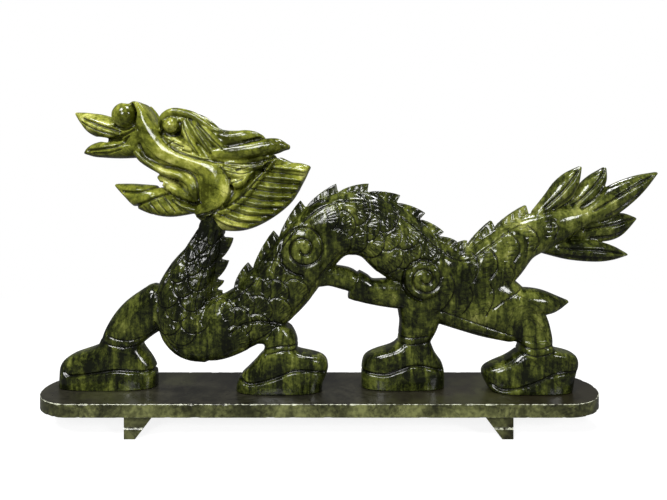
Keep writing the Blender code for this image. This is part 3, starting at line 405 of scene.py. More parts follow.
class FigureSizes(bpy.types.PropertyGroup):
    """Sizes that a user would change."""

    grain: measure("Grain", "Size of the cells the stones are fused from", 0.00045, 0.0003)
    faces: bpy.props.IntProperty(name="Faces", description="Most triangles in one stone", default=196000)
    crest_rise: measure("Crest rise", "Height of a crest plate over its notch", 0.0062)
    scale_pitch: measure("Scale pitch", "Length of one carved scale along the body", 0.0145)
    bold_width: measure("Bold groove", "Half width of the gouged grooves", 0.0017)
    bold_depth: measure("Bold depth", "Depth of the gouged grooves", 0.0017)
    line_width: measure("Line", "Half width of the carved lines", 0.0009)
    line_depth: measure("Line depth", "Depth of the carved lines", 0.0009)
    hatch_width: measure("Hatch", "Half width of the hatch cuts", 0.0007)
    hatch_depth: measure("Hatch depth", "Depth of the hatch cuts", 0.0003)
    edge_wear: measure("Edge wear", "Most that the plinth's edges are chipped back", 0.0009)


def colour(label, words, value):
    """A colour property with its label, description and default."""
    return bpy.props.FloatVectorProperty(name=label, description=words, default=value, size=3,
                                         min=0.0, max=1.0, subtype="COLOR")


class FigureColours(bpy.types.PropertyGroup):
    """Colours of the stones and the studio."""

    deep: colour("Deep green", "Darkest green of the body", (0.003, 0.004, 0.001))
    moss: colour("Moss green", "Middle green of the body", (0.020, 0.025, 0.004))
    olive: colour("Olive", "Light streaks of the body", (0.074, 0.086, 0.014))
    lichen: colour("Lichen", "Palest spots of the body", (0.205, 0.215, 0.055))
    head_deep: colour("Head deep", "Darkest green of the head's stone", (0.028, 0.032, 0.002))
    head_moss: colour("Head moss", "Middle green of the head's stone", (0.088, 0.100, 0.012))
    head_olive: colour("Head olive", "Main light colour of the head's stone", (0.190, 0.203, 0.026))
    head_pale: colour("Head yellow", "Yellow clouds of the head's stone", (0.400, 0.402, 0.110))
    plinth_grey: colour("Plinth grey", "Grey-brown of the plinth's top", (0.018, 0.017, 0.011))
    plinth_brown: colour("Plinth brown", "Brown cloud on the top of the plinth", (0.012, 0.010, 0.004))
    plinth_green: colour("Plinth green", "Green mottle of the plinth", (0.078, 0.083, 0.030))
    floor: colour("Floor", "Floor and background", (1.0, 1.0, 1.0))


def seen(points, depth):
    """Photograph pixels laid on the plane at a depth, as drawing (x, z) with further numbers scaled."""
    scale = (depth - EYE[1]) / FOCAL
    laid = []
    for x, y, *more in points:
        laid.append((EYE[0] + (x - VANISHING[0]) * scale, EYE[2] + (VANISHING[1] - y) * scale,
                     *(value * scale for value in more)))
    return laid


def smooth_rows(points, steps):
    """Rows on a smooth curve through the points, so many steps to a span."""
    points = np.array(points, dtype=float)
    padded = np.vstack([2 * points[0] - points[1], points, 2 * points[-1] - points[-2]])
    rows = [points[0]]
    for a, b, c, d in zip(padded, padded[1:], padded[2:], padded[3:]):
        for step in range(1, steps + 1):
            t = step / steps
            cubic = (3 * (b - c) + d - a) * t**3 + (2 * a - 5 * b + 4 * c - d) * t**2
            rows.append((cubic + (c - a) * t + 2 * b) / 2)
    return np.array(rows)


def headings(rows):
    """Unit directions along the rows, in the side view."""
    steps = np.gradient(rows[:, :2], axis=0)
    return steps / np.maximum(np.linalg.norm(steps, axis=1), 1e-9)[:, None]


def edge_line(spine, share, first, last):
    """A line along a spine at a share of its half width, between two places counted in spans."""
    rows = smooth_rows(spine, STEPS)
    ways = headings(rows)
    line = []
    for place in np.linspace(first, last, int((last - first) * STEPS) + 1):
        line.append(edge_point(rows, ways, place * STEPS, share, 0.0))
    return line


def edge_point(rows, ways, at, share, lift):
    """A point beside a spine: a share of its half width and a lift over that."""
    low = min(int(at), len(rows) - 2)
    part = at - low
    row = rows[low] * (1 - part) + rows[low + 1] * part
    way = ways[low] * (1 - part) + ways[low + 1] * part
    return row[:2] + np.array((-way[1], way[0])) * (row[2] * share + lift)


def squared_round(square):
    """A section's points as shares of its two half widths: a circle at 2, squarer above."""
    angles = np.arange(SIDES) * 2 * math.pi / SIDES
    return [np.sign(wave) * np.abs(wave) ** (2 / square) for wave in (np.cos(angles), np.sin(angles))]


def in_frame(x, z):
    """A point of the drawing's plane in the frame."""
    return Vector((x, 0.0, z)) * MM + ORIGIN


def linked(name, data):
    """A new object in the scene."""
    obj = bpy.data.objects.new(name, data)
    bpy.context.scene.collection.objects.link(obj)
    return obj


class Clay:
    """Closed forms that overlap and are later fused into one stone; millimetres in the drawing."""

    def __init__(self):
        self.verts = []
        self.faces = []

    def add(self, verts, faces):
        """Take in a closed form."""
        start = len(self.verts)
        self.verts.extend(verts)
        self.faces.extend([tuple(start + v for v in face) for face in faces])

    def rings(self, rings):
        """Close a form over a row of rings with the same number of points."""
        sides = len(rings[0])
        faces = [tuple(reversed(range(sides))), tuple(range((len(rings) - 1) * sides, len(rings) * sides))]
        for low in range(len(rings) - 1):
            for k in range(sides):
                after = (k + 1) % sides
                start = low * sides
                faces.append((start + k, start + after, start + sides + after, start + sides + k))
        self.add([point for ring in rings for point in ring], faces)

    def limb(self, spine, half, y=(0.0, 0.0), ends=(ROUND, ROUND), taper=0.5, square=SQUARE):
        """A body swept along a spine: thickest where it is widest, with rounded or pointed ends."""
        rows = smooth_rows(spine, STEPS)
        rows[:, 2] = np.maximum(rows[:, 2], LEAST_HALF)
        ways = headings(rows)
        widest = rows[:, 2].max()
        sections = []
        for (x, z, wide), way, offset in zip(rows, ways, np.linspace(y[0], y[1], len(rows))):
            sections.append((np.array((x, z)), way, wide, half * (wide / widest) ** taper, offset))
        sections = self.cap(sections[0], -1, ends[0])[::-1] + sections + self.cap(sections[-1], 1, ends[1])
        across, deep = squared_round(square)
        rings = []
        for place, way, wide, thick, offset in sections:
            x = place[0] - way[1] * wide * across
            z = place[1] + way[0] * wide * across
            rings.append(list(zip(x, offset + thick * deep, z)))
        self.rings(rings)

    def cap(self, section, sign, length):
        """Sections that round off an end; none for a pointed end."""
        if length == POINT:
            return []
        place, way, wide, thick, offset = section
        caps = []
        for angle in CAP_ANGLES:
            reach = sign * length * wide * math.sin(angle)
            caps.append((place + way * reach, way, wide * math.cos(angle), thick * math.cos(angle), offset))
        return caps

    def boot(self, levels, half, y):
        """A paw on a flat sole, as level sections from the ankle down, narrower in depth at the ankle."""
        rows = smooth_rows(levels, STEPS // 2)
        along, deep = squared_round(PAW_SQUARE)
        rings = []
        for share, (height, toe, heel) in zip(np.linspace(ANKLE_DEPTH, 1.0, len(rows)), rows):
            x = (toe + heel) / 2 + (heel - toe) / 2 * along
            rings.append(list(zip(x, y + half * share * deep, np.full(SIDES, max(height, 0.0)))))
        self.rings(rings)

    def ball(self, spot, half, y):
        """A round boss on both sides: its half depth and how far its middle stands off."""
        x, z, radius = spot
        for side in (NEAR, FAR):
            bm = bmesh.new()
            bmesh.ops.create_uvsphere(bm, u_segments=SIDES, v_segments=SIDES // 2, radius=1.0)
            bm.transform(Matrix.Translation((x, side * y, z)) @ Matrix.Diagonal((radius, half, radius, 1.0)))
            faces = [tuple(v.index for v in face.verts) for face in bm.faces]
            self.add([tuple(v.co) for v in bm.verts], faces)
            bm.free()

    def pair(self, spine, half, y, **shape):
        """The same limb on both sides."""
        for side in (NEAR, FAR):
            self.limb(spine, half, y=(side * y, side * y), **shape)

    def ridge(self, spine, y):
        """A round ridge on both sides."""
        self.pair(spine, max(point[2] for point in spine), y, taper=1.0, square=2.0, ends=(1.0, 1.0))

    def take(self, mesh):
        """Take in a mesh made elsewhere in the frame's metres."""
        verts = [tuple((v.co - ORIGIN) / MM) for v in mesh.vertices]
        self.add(verts, [tuple(face.vertices) for face in mesh.polygons])

    def object(self, name):
        """The forms as one mesh object in the frame."""
        mesh = bpy.data.meshes.new(name)
        mesh.from_pydata([Vector(v) * MM + ORIGIN for v in self.verts], [], self.faces)
        obj = linked(name, mesh)
        bm = bmesh.new()
        bm.from_mesh(mesh)
        bmesh.ops.recalc_face_normals(bm, faces=bm.faces)
        bm.to_mesh(mesh)
        bm.free()
        return obj


class Marks:
    """Carving strokes in the drawing's side view."""

    def __init__(self):
        self.strokes = []

    def stroke(self, points):
        """A smooth stroke through drawing points."""
        self.strokes.append(smooth_rows([point[:2] for point in points], STROKE_STEPS))

    def traced(self, depth, *strokes):
        """Strokes read off the photograph, on the surface at a depth."""
        for points in strokes:
            self.stroke(seen(points, depth))

    def spiral(self, spot, eye, turns, start, hand):
        """A stroke that winds in from the radius of a spot to an eye."""
        steps = int(turns * SPIRAL_STEPS)
        points = []
        for step in range(steps + 1):
            t = step / steps
            angle = start + hand * t * turns * 2 * math.pi
            reach = spot[2] + (eye - spot[2]) * t
            points.append((spot[0] + reach * math.cos(angle), spot[1] + reach * math.sin(angle)))
        self.strokes.append(np.array(points))

    def ring(self, spot, first, last):
        """An arc about a spot, between two angles in degrees."""
        angles = np.radians(np.linspace(first, last, SPIRAL_STEPS))
        x, z, radius = spot
        self.strokes.append(np.column_stack([x + radius * np.cos(angles), z + radius * np.sin(angles)]))

    def object(self, name):
        """The strokes as loose edges on the drawing's plane."""
        return edge_object(name, self.strokes, in_frame)


def edge_object(name, strokes, put):
    """Strokes as an object of loose edges; put gives the place of a stroke's (x, z)."""
    verts = []
    edges = []
    for stroke in strokes:
        start = len(verts)
        verts.extend([put(x, z) for x, z in stroke])
        edges.extend([(k, k + 1) for k in range(start, len(verts) - 1)])
    mesh = bpy.data.meshes.new(name)
    mesh.from_pydata(verts, edges, [])
    return linked(name, mesh)


class Value:
    """A node socket in an expression: operators on it add the tree's Math nodes."""

    def __init__(self, sheet, socket):
        self.sheet = sheet
        self.socket = socket

    def maths(self, operation, *values):
        """A Math node on this value and others."""
        inputs = dict(enumerate(values))
        return self.sheet.value("ShaderNodeMath", {"operation": operation}, inputs)

    def __add__(self, other):
        return self.maths("ADD", self, other)

    def __radd__(self, other):
        return self.maths("ADD", other, self)

    def __sub__(self, other):
        return self.maths("SUBTRACT", self, other)

    def __rsub__(self, other):
        return self.maths("SUBTRACT", other, self)

    def __mul__(self, other):
        return self.maths("MULTIPLY", self, other)

    def __rmul__(self, other):
        return self.maths("MULTIPLY", other, self)

    def __truediv__(self, other):
        return self.maths("DIVIDE", self, other)

    def __gt__(self, other):
        return self.maths("GREATER_THAN", self, other)

    def __abs__(self):
        return self.maths("ABSOLUTE", self)

    def step(self, low, high):
        """Zero below low, one above high and smooth between."""
        return self.sheet.value("ShaderNodeMapRange", {"interpolation_type": "SMOOTHSTEP"},
                                {"Value": self, "From Min": low, "From Max": high})


class Sheet:
    """A node tree that is written as expressions."""

    def __init__(self, tree):
        self.tree = tree

    def node(self, kind, settings=None, inputs=None):
        """A node of a type, with its settings first and then the values or links of its sockets."""
        node = self.tree.nodes.new(kind)
        for key, value in (settings or {}).items():
            if key == "stops":
                self.stops(node.color_ramp.elements, value)
            else:
                setattr(node, key, value)
        self.feed(node, inputs or {})
        return node

    def feed(self, node, inputs):
        """Set or link a node's sockets."""
        for key, value in inputs.items():
            if isinstance(value, Value):
                self.tree.links.new(value.socket, node.inputs[key])
            else:
                node.inputs[key].default_value = value

    def stops(self, elements, stops):
        """Set a ramp's stops."""
        while len(elements) < len(stops):
            elements.new(1.0)
        for element, (place, tint) in zip(elements, stops):
            element.position = place
            element.color = (*tint, 1.0)

    def value(self, kind, settings=None, inputs=None, output=0):
        """A node's output as a value."""
        return Value(self, self.node(kind, settings, inputs).outputs[output])

    def mix(self, factor, a, b):
        """A mix of two colours."""
        inputs = {"Factor": factor, 6: a if isinstance(a, Value) else (*a, 1.0),
                  7: b if isinstance(b, Value) else (*b, 1.0)}
        return self.value("ShaderNodeMix", {"data_type": "RGBA"}, inputs, 2)

    def vector(self, operation, inputs, output=0):
        """A Vector Math node's output."""
        return self.value("ShaderNodeVectorMath", {"operation": operation}, inputs, output)

    def noise(self, place, scale, detail, roughness=0.5, distortion=0.0):
        """A noise texture's value."""
        return self.value("ShaderNodeTexNoise", inputs={"Vector": place, "Scale": scale, "Detail": detail,
                                                        "Roughness": roughness, "Distortion": distortion})

    def ramp(self, factor, stops):
        """A colour from a ramp of (place, colour) stops."""
        return self.value("ShaderNodeValToRGB", {"stops": stops}, {"Fac": factor})

    def stored(self, name):
        """A number stored on the mesh."""
        return self.value("ShaderNodeAttribute", {"attribute_name": name}, output="Fac")


class ShapeTree(Sheet):
    """A Geometry Nodes tree with named inputs."""

    def __init__(self, name, inputs):
        super().__init__(bpy.data.node_groups.new(name, "GeometryNodeTree"))
        self.tree.interface.new_socket("Geometry", in_out="INPUT", socket_type="NodeSocketGeometry")
        self.tree.interface.new_socket("Geometry", in_out="OUTPUT", socket_type="NodeSocketGeometry")
        for label, kind in inputs.items():
            self.tree.interface.new_socket(label, in_out="INPUT", socket_type="NodeSocket" + kind)
        self.entry = self.tree.nodes.new("NodeGroupInput")

    def given(self, label):
        """A named input of the tree."""
        return Value(self, self.entry.outputs[label])

    def end(self, geometry):
        """Realize what was placed, give it its material and close the tree."""
        real = self.value("GeometryNodeRealizeInstances", inputs={"Geometry": geometry})
        done = self.value("GeometryNodeSetMaterial",
                          inputs={"Geometry": real, "Material": self.given("Material")})
        self.node("NodeGroupOutput", inputs={0: done})

    def put(self, obj, values):
        """Add the tree to an object with its inputs set."""
        modifier = obj.modifiers.new(self.tree.name, "NODES")
        modifier.node_group = self.tree
        for item in self.tree.interface.items_tree:
            if item.in_out == "INPUT" and item.name in values:
                modifier[item.identifier] = values[item.name]


def crest_tree():
    """Places one unit shape on every edge of a line: along it, square to it and as high as asked."""
    sheet = ShapeTree("crest", {"Unit": "Object", "Rise": "Float", "Material": "Material"})
    ends = sheet.node("GeometryNodeInputMeshEdgeVertices")
    start = Value(sheet, ends.outputs["Position 1"])
    stop = Value(sheet, ends.outputs["Position 2"])
    along = sheet.vector("SUBTRACT", {0: stop, 1: start})
    store = sheet.value("GeometryNodeStoreNamedAttribute", {"data_type": "FLOAT_VECTOR", "domain": "EDGE"},
                        {"Geometry": sheet.given("Geometry"), "Name": "along", "Value": along})
    points = sheet.value("GeometryNodeMeshToPoints", {"mode": "EDGES"}, {"Mesh": store})
    kept = sheet.value("GeometryNodeInputNamedAttribute", {"data_type": "FLOAT_VECTOR"}, {"Name": "along"})
    turn = sheet.value("FunctionNodeAlignRotationToVector", {"axis": "X", "pivot_axis": "Y"},
                       {"Vector": kept})
    length = sheet.vector("LENGTH", {0: kept}, "Value")
    size = sheet.value("ShaderNodeCombineXYZ", inputs={"X": length, "Y": 1.0, "Z": sheet.given("Rise")})
    unit = sheet.value("GeometryNodeObjectInfo", inputs={"Object": sheet.given("Unit")}, output="Geometry")
    placed = sheet.value("GeometryNodeInstanceOnPoints",
                         inputs={"Points": points, "Instance": unit, "Rotation": turn, "Scale": size})
    sheet.end(placed)
    return sheet


def scale_tree():
    """Places rows of scale marks along a spine curve, staggered, clear of the two curls."""
    sheet = ShapeTree("scale_rows", {"Unit": "Object", "Pitch": "Float", "Shoulder": "Vector",
                                     "Hip": "Vector", "Clear": "Float", "Seed": "Int",
                                     "Material": "Material"})
    pitch = sheet.given("Pitch")
    path = sheet.value("GeometryNodeResampleCurve", {"mode": "LENGTH"},
                       {"Curve": sheet.given("Geometry"), "Length": pitch})
    tangent = sheet.value("GeometryNodeInputTangent")
    store = sheet.value("GeometryNodeStoreNamedAttribute", {"data_type": "FLOAT_VECTOR", "domain": "POINT"},
                        {"Geometry": path, "Name": "along", "Value": tangent})
    kept = sheet.value("GeometryNodeInputNamedAttribute", {"data_type": "FLOAT_VECTOR"}, {"Name": "along"})
    normal = sheet.vector("CROSS_PRODUCT", {0: kept, 1: (0.0, 1.0, 0.0)})
    radius = sheet.value("GeometryNodeInputRadius")
    unit = sheet.value("GeometryNodeObjectInfo", inputs={"Object": sheet.given("Unit")}, output="Geometry")
    turn = sheet.value("FunctionNodeAlignRotationToVector", {"axis": "X", "pivot_axis": "Y"},
                       {"Vector": kept})
    rows = []
    for share, shift in SCALE_ROWS:
        side = sheet.vector("SCALE", {0: normal, "Scale": radius * share})
        ahead = sheet.vector("SCALE", {0: kept, "Scale": pitch * shift})
        move = sheet.vector("ADD", {0: side, 1: ahead})
        line = sheet.value("GeometryNodeSetPosition", inputs={"Geometry": store, "Offset": move})
        position = sheet.value("GeometryNodeInputPosition")
        clear = None
        for name in ("Shoulder", "Hip"):
            away = sheet.vector("DISTANCE", {0: position, 1: sheet.given(name)}, "Value")
            free = away > sheet.given("Clear")
            clear = free if clear is None else clear * free
        wobble = sheet.value("FunctionNodeRandomValue", {"data_type": "FLOAT"},
                             {2: SCALE_LEAST, 3: SCALE_MOST, "Seed": sheet.given("Seed")}, 1)
        size = sheet.value("ShaderNodeCombineXYZ",
                           inputs={"X": pitch * wobble, "Y": 1.0, "Z": radius * SCALE_HEIGHT * wobble})
        rows.append(sheet.value("GeometryNodeInstanceOnPoints",
                                inputs={"Points": line, "Selection": clear, "Instance": unit,
                                        "Rotation": turn, "Scale": size}))
    join = sheet.node("GeometryNodeJoinGeometry")
    for row in rows:
        sheet.tree.links.new(row.socket, join.inputs[0])
    sheet.end(Value(sheet, join.outputs[0]))
    return sheet


def carve_tree():
    """Sinks a surface along strokes that lie on the drawing's plane, on both of its sides."""
    sheet = ShapeTree("carve", {"Marks": "Object", "Width": "Float", "Depth": "Float", "Flank": "Float",
                                "Stain": "Float", "Material": "Material"})
    position = sheet.value("GeometryNodeInputPosition")
    parts = sheet.node("ShaderNodeSeparateXYZ", inputs={0: position})
    flat = sheet.value("ShaderNodeCombineXYZ", inputs={"X": Value(sheet, parts.outputs["X"]), "Y": 0.0,
                                                        "Z": Value(sheet, parts.outputs["Z"])})
    marks = sheet.value("GeometryNodeObjectInfo", inputs={"Object": sheet.given("Marks")}, output="Geometry")
    near = sheet.node("GeometryNodeProximity", {"target_element": "EDGES"},
                      {0: marks, "Sample Position": flat})
    distance = Value(sheet, near.outputs["Distance"])
    left = 1.0 - distance / sheet.given("Width")
    inside = left.maths("MAXIMUM", left, 0.0)
    profile = inside * inside * (3.0 - 2.0 * inside)
    normal = sheet.value("GeometryNodeInputNormal")
    facing = abs(Value(sheet, sheet.node("ShaderNodeSeparateXYZ", inputs={0: normal}).outputs["Y"]))
    flank = sheet.given("Flank")
    open_side = 1.0 - flank + flank * facing.step(0.1, 0.5)
    sink = sheet.vector("SCALE", {0: normal, "Scale": profile * open_side * sheet.given("Depth") * -1.0})
    moved = sheet.value("GeometryNodeSetPosition",
                        inputs={"Geometry": sheet.given("Geometry"), "Offset": sink})
    # How dark the groove is painted, with stain and painted shade, is stored for the stone's colour.
    before = sheet.value("GeometryNodeInputNamedAttribute", {"data_type": "FLOAT"}, {"Name": "cut"})
    cut = before.maths("MAXIMUM", before, profile * open_side * sheet.given("Stain"))
    stained = sheet.value("GeometryNodeStoreNamedAttribute", {"data_type": "FLOAT", "domain": "POINT"},
                          {"Geometry": moved, "Name": "cut", "Value": cut})
    sheet.end(stained)
    return sheet


def plain_mesh(obj, name):
    """The object's mesh with its modifiers applied; the object goes."""
    graph = bpy.context.evaluated_depsgraph_get()
    mesh = bpy.data.meshes.new_from_object(obj.evaluated_get(graph))
    mesh.name = name
    bpy.data.objects.remove(obj, do_unlink=True)
    return mesh


def spine_curve(name, spine, first, last):
    """A spine as a curve whose radius is the spine's half width."""
    rows = smooth_rows(spine, STEPS)[int(first * STEPS):int(last * STEPS) + 1]
    curve = bpy.data.curves.new(name, "CURVE")
    curve.dimensions = "3D"
    spline = curve.splines.new("POLY")
    spline.points.add(len(rows) - 1)
    for point, (x, z, half) in zip(spline.points, rows):
        point.co = (*in_frame(x, z), 1.0)
        point.radius = half * MM
    return linked(name, curve)


def unit_plate():
    """One crest plate over a chord of length one: it climbs to a tip that leans over the next notch."""
    half = 4.0 * MM
    tip = 1.8 * MM
    top = [(0.0, 0.06), (0.15, 0.36), (0.35, 0.62), (0.6, 0.84), (0.85, 0.97), (1.04, 1.0)]
    rest = [(0.985, 0.05), (0.985, -1.0), (0.0, -1.0)]
    bm = bmesh.new()
    sides = []
    for side in (NEAR, FAR):
        ring = [bm.verts.new((x - 0.5, side * (half + (tip - half) * max(z, 0.0)), z)) for x, z in top + rest]
        sides.append(ring)
        bm.faces.new(ring)
    for k in range(len(sides[0])):
        bm.faces.new((sides[0][k - 1], sides[0][k], sides[1][k], sides[1][k - 1]))
    bmesh.ops.recalc_face_normals(bm, faces=bm.faces)
    mesh = bpy.data.meshes.new("unit_plate")
    bm.to_mesh(mesh)
    bm.free()
    return linked("unit_plate", mesh)


def unit_strokes(name, strokes):
    """A unit mark of straight strokes, each a list of (x, z)."""
    return edge_object(name, strokes, lambda x, z: (x, 0.0, z))


def crest_line(name, spine, plates):
    """Chords between the crest's notches along the upper edge of a spine."""
    rows = smooth_rows(spine, STEPS)
    ways = headings(rows)
    points = [edge_point(rows, ways, place * STEPS, 1.0, CREST_LIFT) for place in plates]
    return edge_object(name, [points], in_frame)


def read(items, key, width, kind=float):
    """A property of all vertices or edges, as an array with a row to each."""
    flat = np.empty(len(items) * width, dtype=kind)
    items.foreach_get(key, flat)
    return flat.reshape(-1, width)


def store(mesh, name, values, domain):
    """Store a number for each point or face of a mesh."""
    layer = mesh.attributes.new(name, "FLOAT", domain)
    layer.data.foreach_set("value", values.astype(np.float32))


def hollows(mesh):
    """Store how hollow the surface is at each point, and how sharp, for the polish, for dirt and painted
    shade in the hollows and for painted highlights and wear on the sharp edges.
    """
    count = len(mesh.vertices)
    places = read(mesh.vertices, "co", 3)
    normals = read(mesh.vertices, "normal", 3)
    ends = read(mesh.edges, "vertices", 2, np.int64)
    degree = np.bincount(ends.ravel(), minlength=count).astype(float)
    average = np.zeros((count, 3))
    for a, b in ((0, 1), (1, 0)):
        np.add.at(average, ends[:, a], places[ends[:, b]])
    lengths = np.linalg.norm(places[ends[:, 0]] - places[ends[:, 1]], axis=1)
    reach = (np.bincount(ends[:, 0], lengths, count) + np.bincount(ends[:, 1], lengths, count)) / degree
    bend = np.einsum("ij,ij->i", average / degree[:, None] - places, normals) / np.maximum(reach, 1e-6)
    for _ in range(HOLLOW_ROUNDS):
        first = np.bincount(ends[:, 0], bend[ends[:, 1]], count)
        second = np.bincount(ends[:, 1], bend[ends[:, 0]], count)
        bend = HOLLOW_KEPT * bend + (1 - HOLLOW_KEPT) * (first + second) / degree
    for name, value in (("hollow", bend), ("edge", -bend)):
        store(mesh, name, np.clip(value * HOLLOW_GAIN, 0.0, 1.0), "POINT")


def tones(mesh, patches):
    """Store the stone's lighter and darker patches, some of them painted highlights, spots of the photograph
    with a reach and a shift.
    """
    places = (read(mesh.vertices, "co", 3) - np.array(ORIGIN)) / MM
    total = np.zeros(len(places))
    for x, y, reach, shift in patches:
        spot = seen([(x, y, reach)], FLANK_DEPTH)[0]
        away = np.hypot(places[:, 0] - spot[0], places[:, 2] - spot[1]) / spot[2]
        total += shift * np.exp(-away**2)
    store(mesh, "tone", total, "POINT")


def shown(name, mesh, material, slot, *nodes):
    """A finished piece at the origin, riding on the root body in place of its CAD nodes."""
    mesh.materials.clear()
    mesh.materials.append(material)
    mesh.polygons.foreach_set("material_index", np.zeros(len(mesh.polygons), dtype=np.int32))
    obj = linked(name, mesh)
    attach(obj, "root")
    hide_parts(*nodes)


def carved(name, clay, sizes, cuts, material):
    """Fuse the clay, soften it, sink every set of marks into it and thin it to the most faces allowed.

    A set is its marks, half width, depth, how far it keeps to the flanks and how much stain and painted shade
    darken its grooves.
    """
    obj = clay.object(name)
    fuse = obj.modifiers.new("fuse", "REMESH")
    fuse.mode = "VOXEL"
    fuse.voxel_size = sizes.grain * 1.0
    smooth = obj.modifiers.new("soften", "SMOOTH")
    smooth.factor = 0.5
    smooth.iterations = SOFTEN_ROUNDS
    tree = carve_tree()
    for marks, width, depth, flank, stain_and_shade in cuts:
        tree.put(obj, {"Marks": marks, "Width": width, "Depth": depth, "Flank": flank, "Stain": stain_and_shade,
                       "Material": material})
    last = obj.modifiers.new("ease", "SMOOTH")
    last.factor = 0.3
    last.iterations = 1
    mesh = plain_mesh(obj, name)
    for marks in {cut[0].name for cut in cuts}:
        bpy.data.objects.remove(bpy.data.objects[marks], do_unlink=True)
    thin = linked(name, mesh)
    triangles = sum(len(face.vertices) - 2 for face in mesh.polygons)
    if triangles > sizes.faces:
        less = thin.modifiers.new("thin", "DECIMATE")
        less.ratio = sizes.faces / triangles
        less.use_collapse_triangulate = True
    mesh = plain_mesh(thin, name)
    mesh.polygons.foreach_set("use_smooth", np.ones(len(mesh.polygons), dtype=bool))
    hollows(mesh)
    return mesh


def new_finish(name):
    """A material with its sheet and its Principled shader."""
    material = bpy.data.materials.new(name)
    material.use_nodes = True
    return material, Sheet(material.node_tree), material.node_tree.nodes["Principled BSDF"]


def shade(tint, share):
    """A colour made lighter or darker by a share."""
    return tuple(part * share for part in tint)


def stone(name, palette, colours, bands, spread, start):
    """Polished serpentine: clouds, streaks and veins of four greens, darker and duller in the cuts and
    hollows with dirt and painted shade, lighter on sharp edges with wear and painted highlights.
    """
    material, sheet, shader = new_finish(name)
    place = sheet.value("ShaderNodeTexCoord", output="Object")
    clouds = sheet.noise(place, scale=spread, detail=7.0, roughness=0.66, distortion=0.9)
    drawn = sheet.value("ShaderNodeMapping", inputs={"Vector": place, "Scale": (210.0, 90.0, 34.0),
                                                      "Rotation": (0.0, math.radians(6), 0.0)})
    streaks = sheet.noise(drawn, scale=1.0, detail=5.0, roughness=0.62, distortion=0.6)
    flecks = sheet.noise(place, scale=420.0, detail=4.0, roughness=0.7)
    patch = sheet.stored("tone")
    tone = clouds * (1.0 - bands) + streaks * bands + (flecks - 0.5) * 0.3 + patch
    greens = [tuple(getattr(colours, key)) for key in palette]
    low, _, high, _ = greens
    stops = [(start + step, green) for step, green in zip(TONE_STEPS, greens)]
    tint = sheet.ramp(tone, stops)
    wander = sheet.noise(place, scale=26.0, detail=7.0, roughness=0.6, distortion=1.6)
    vein = 1.0 - abs(wander - 0.5).step(0.0, 0.016)
    tint = sheet.mix(vein * 0.6, tint, shade(low, 0.4))
    # Dirt and painted shade: cuts and hollows are painted darker, as if shade fell in them, and made duller.
    hollow = sheet.stored("hollow")
    cut = sheet.stored("cut")
    dirt_and_painted_shade = cut.maths("MAXIMUM", cut.step(0.1, 0.9), hollow.step(0.1, 0.8))
    tint = sheet.mix(dirt_and_painted_shade * 0.85, tint, shade(low, 0.25))
    # Painted highlight with wear: sharp edges are painted lighter, toward the light green.
    edge = sheet.stored("edge")
    tint = sheet.mix(edge.step(0.15, 0.9) * 0.3, tint, high)
    rough = 0.09 + flecks * 0.08 + dirt_and_painted_shade * 0.12
    waves = sheet.noise(place, scale=150.0, detail=3.0)
    height = waves + flecks * 0.12
    bump = sheet.value("ShaderNodeBump", inputs={"Strength": 0.5, "Distance": 0.0007, "Height": height})
    sheet.feed(shader, {"Base Color": tint, "Roughness": rough, "Normal": bump, "IOR": 1.52,
                        "Specular IOR Level": 0.3})
    return material


def settings(context):
    """The sizes and colours kept on the scene."""
    return context.scene.dragon_sizes, context.scene.dragon_colours


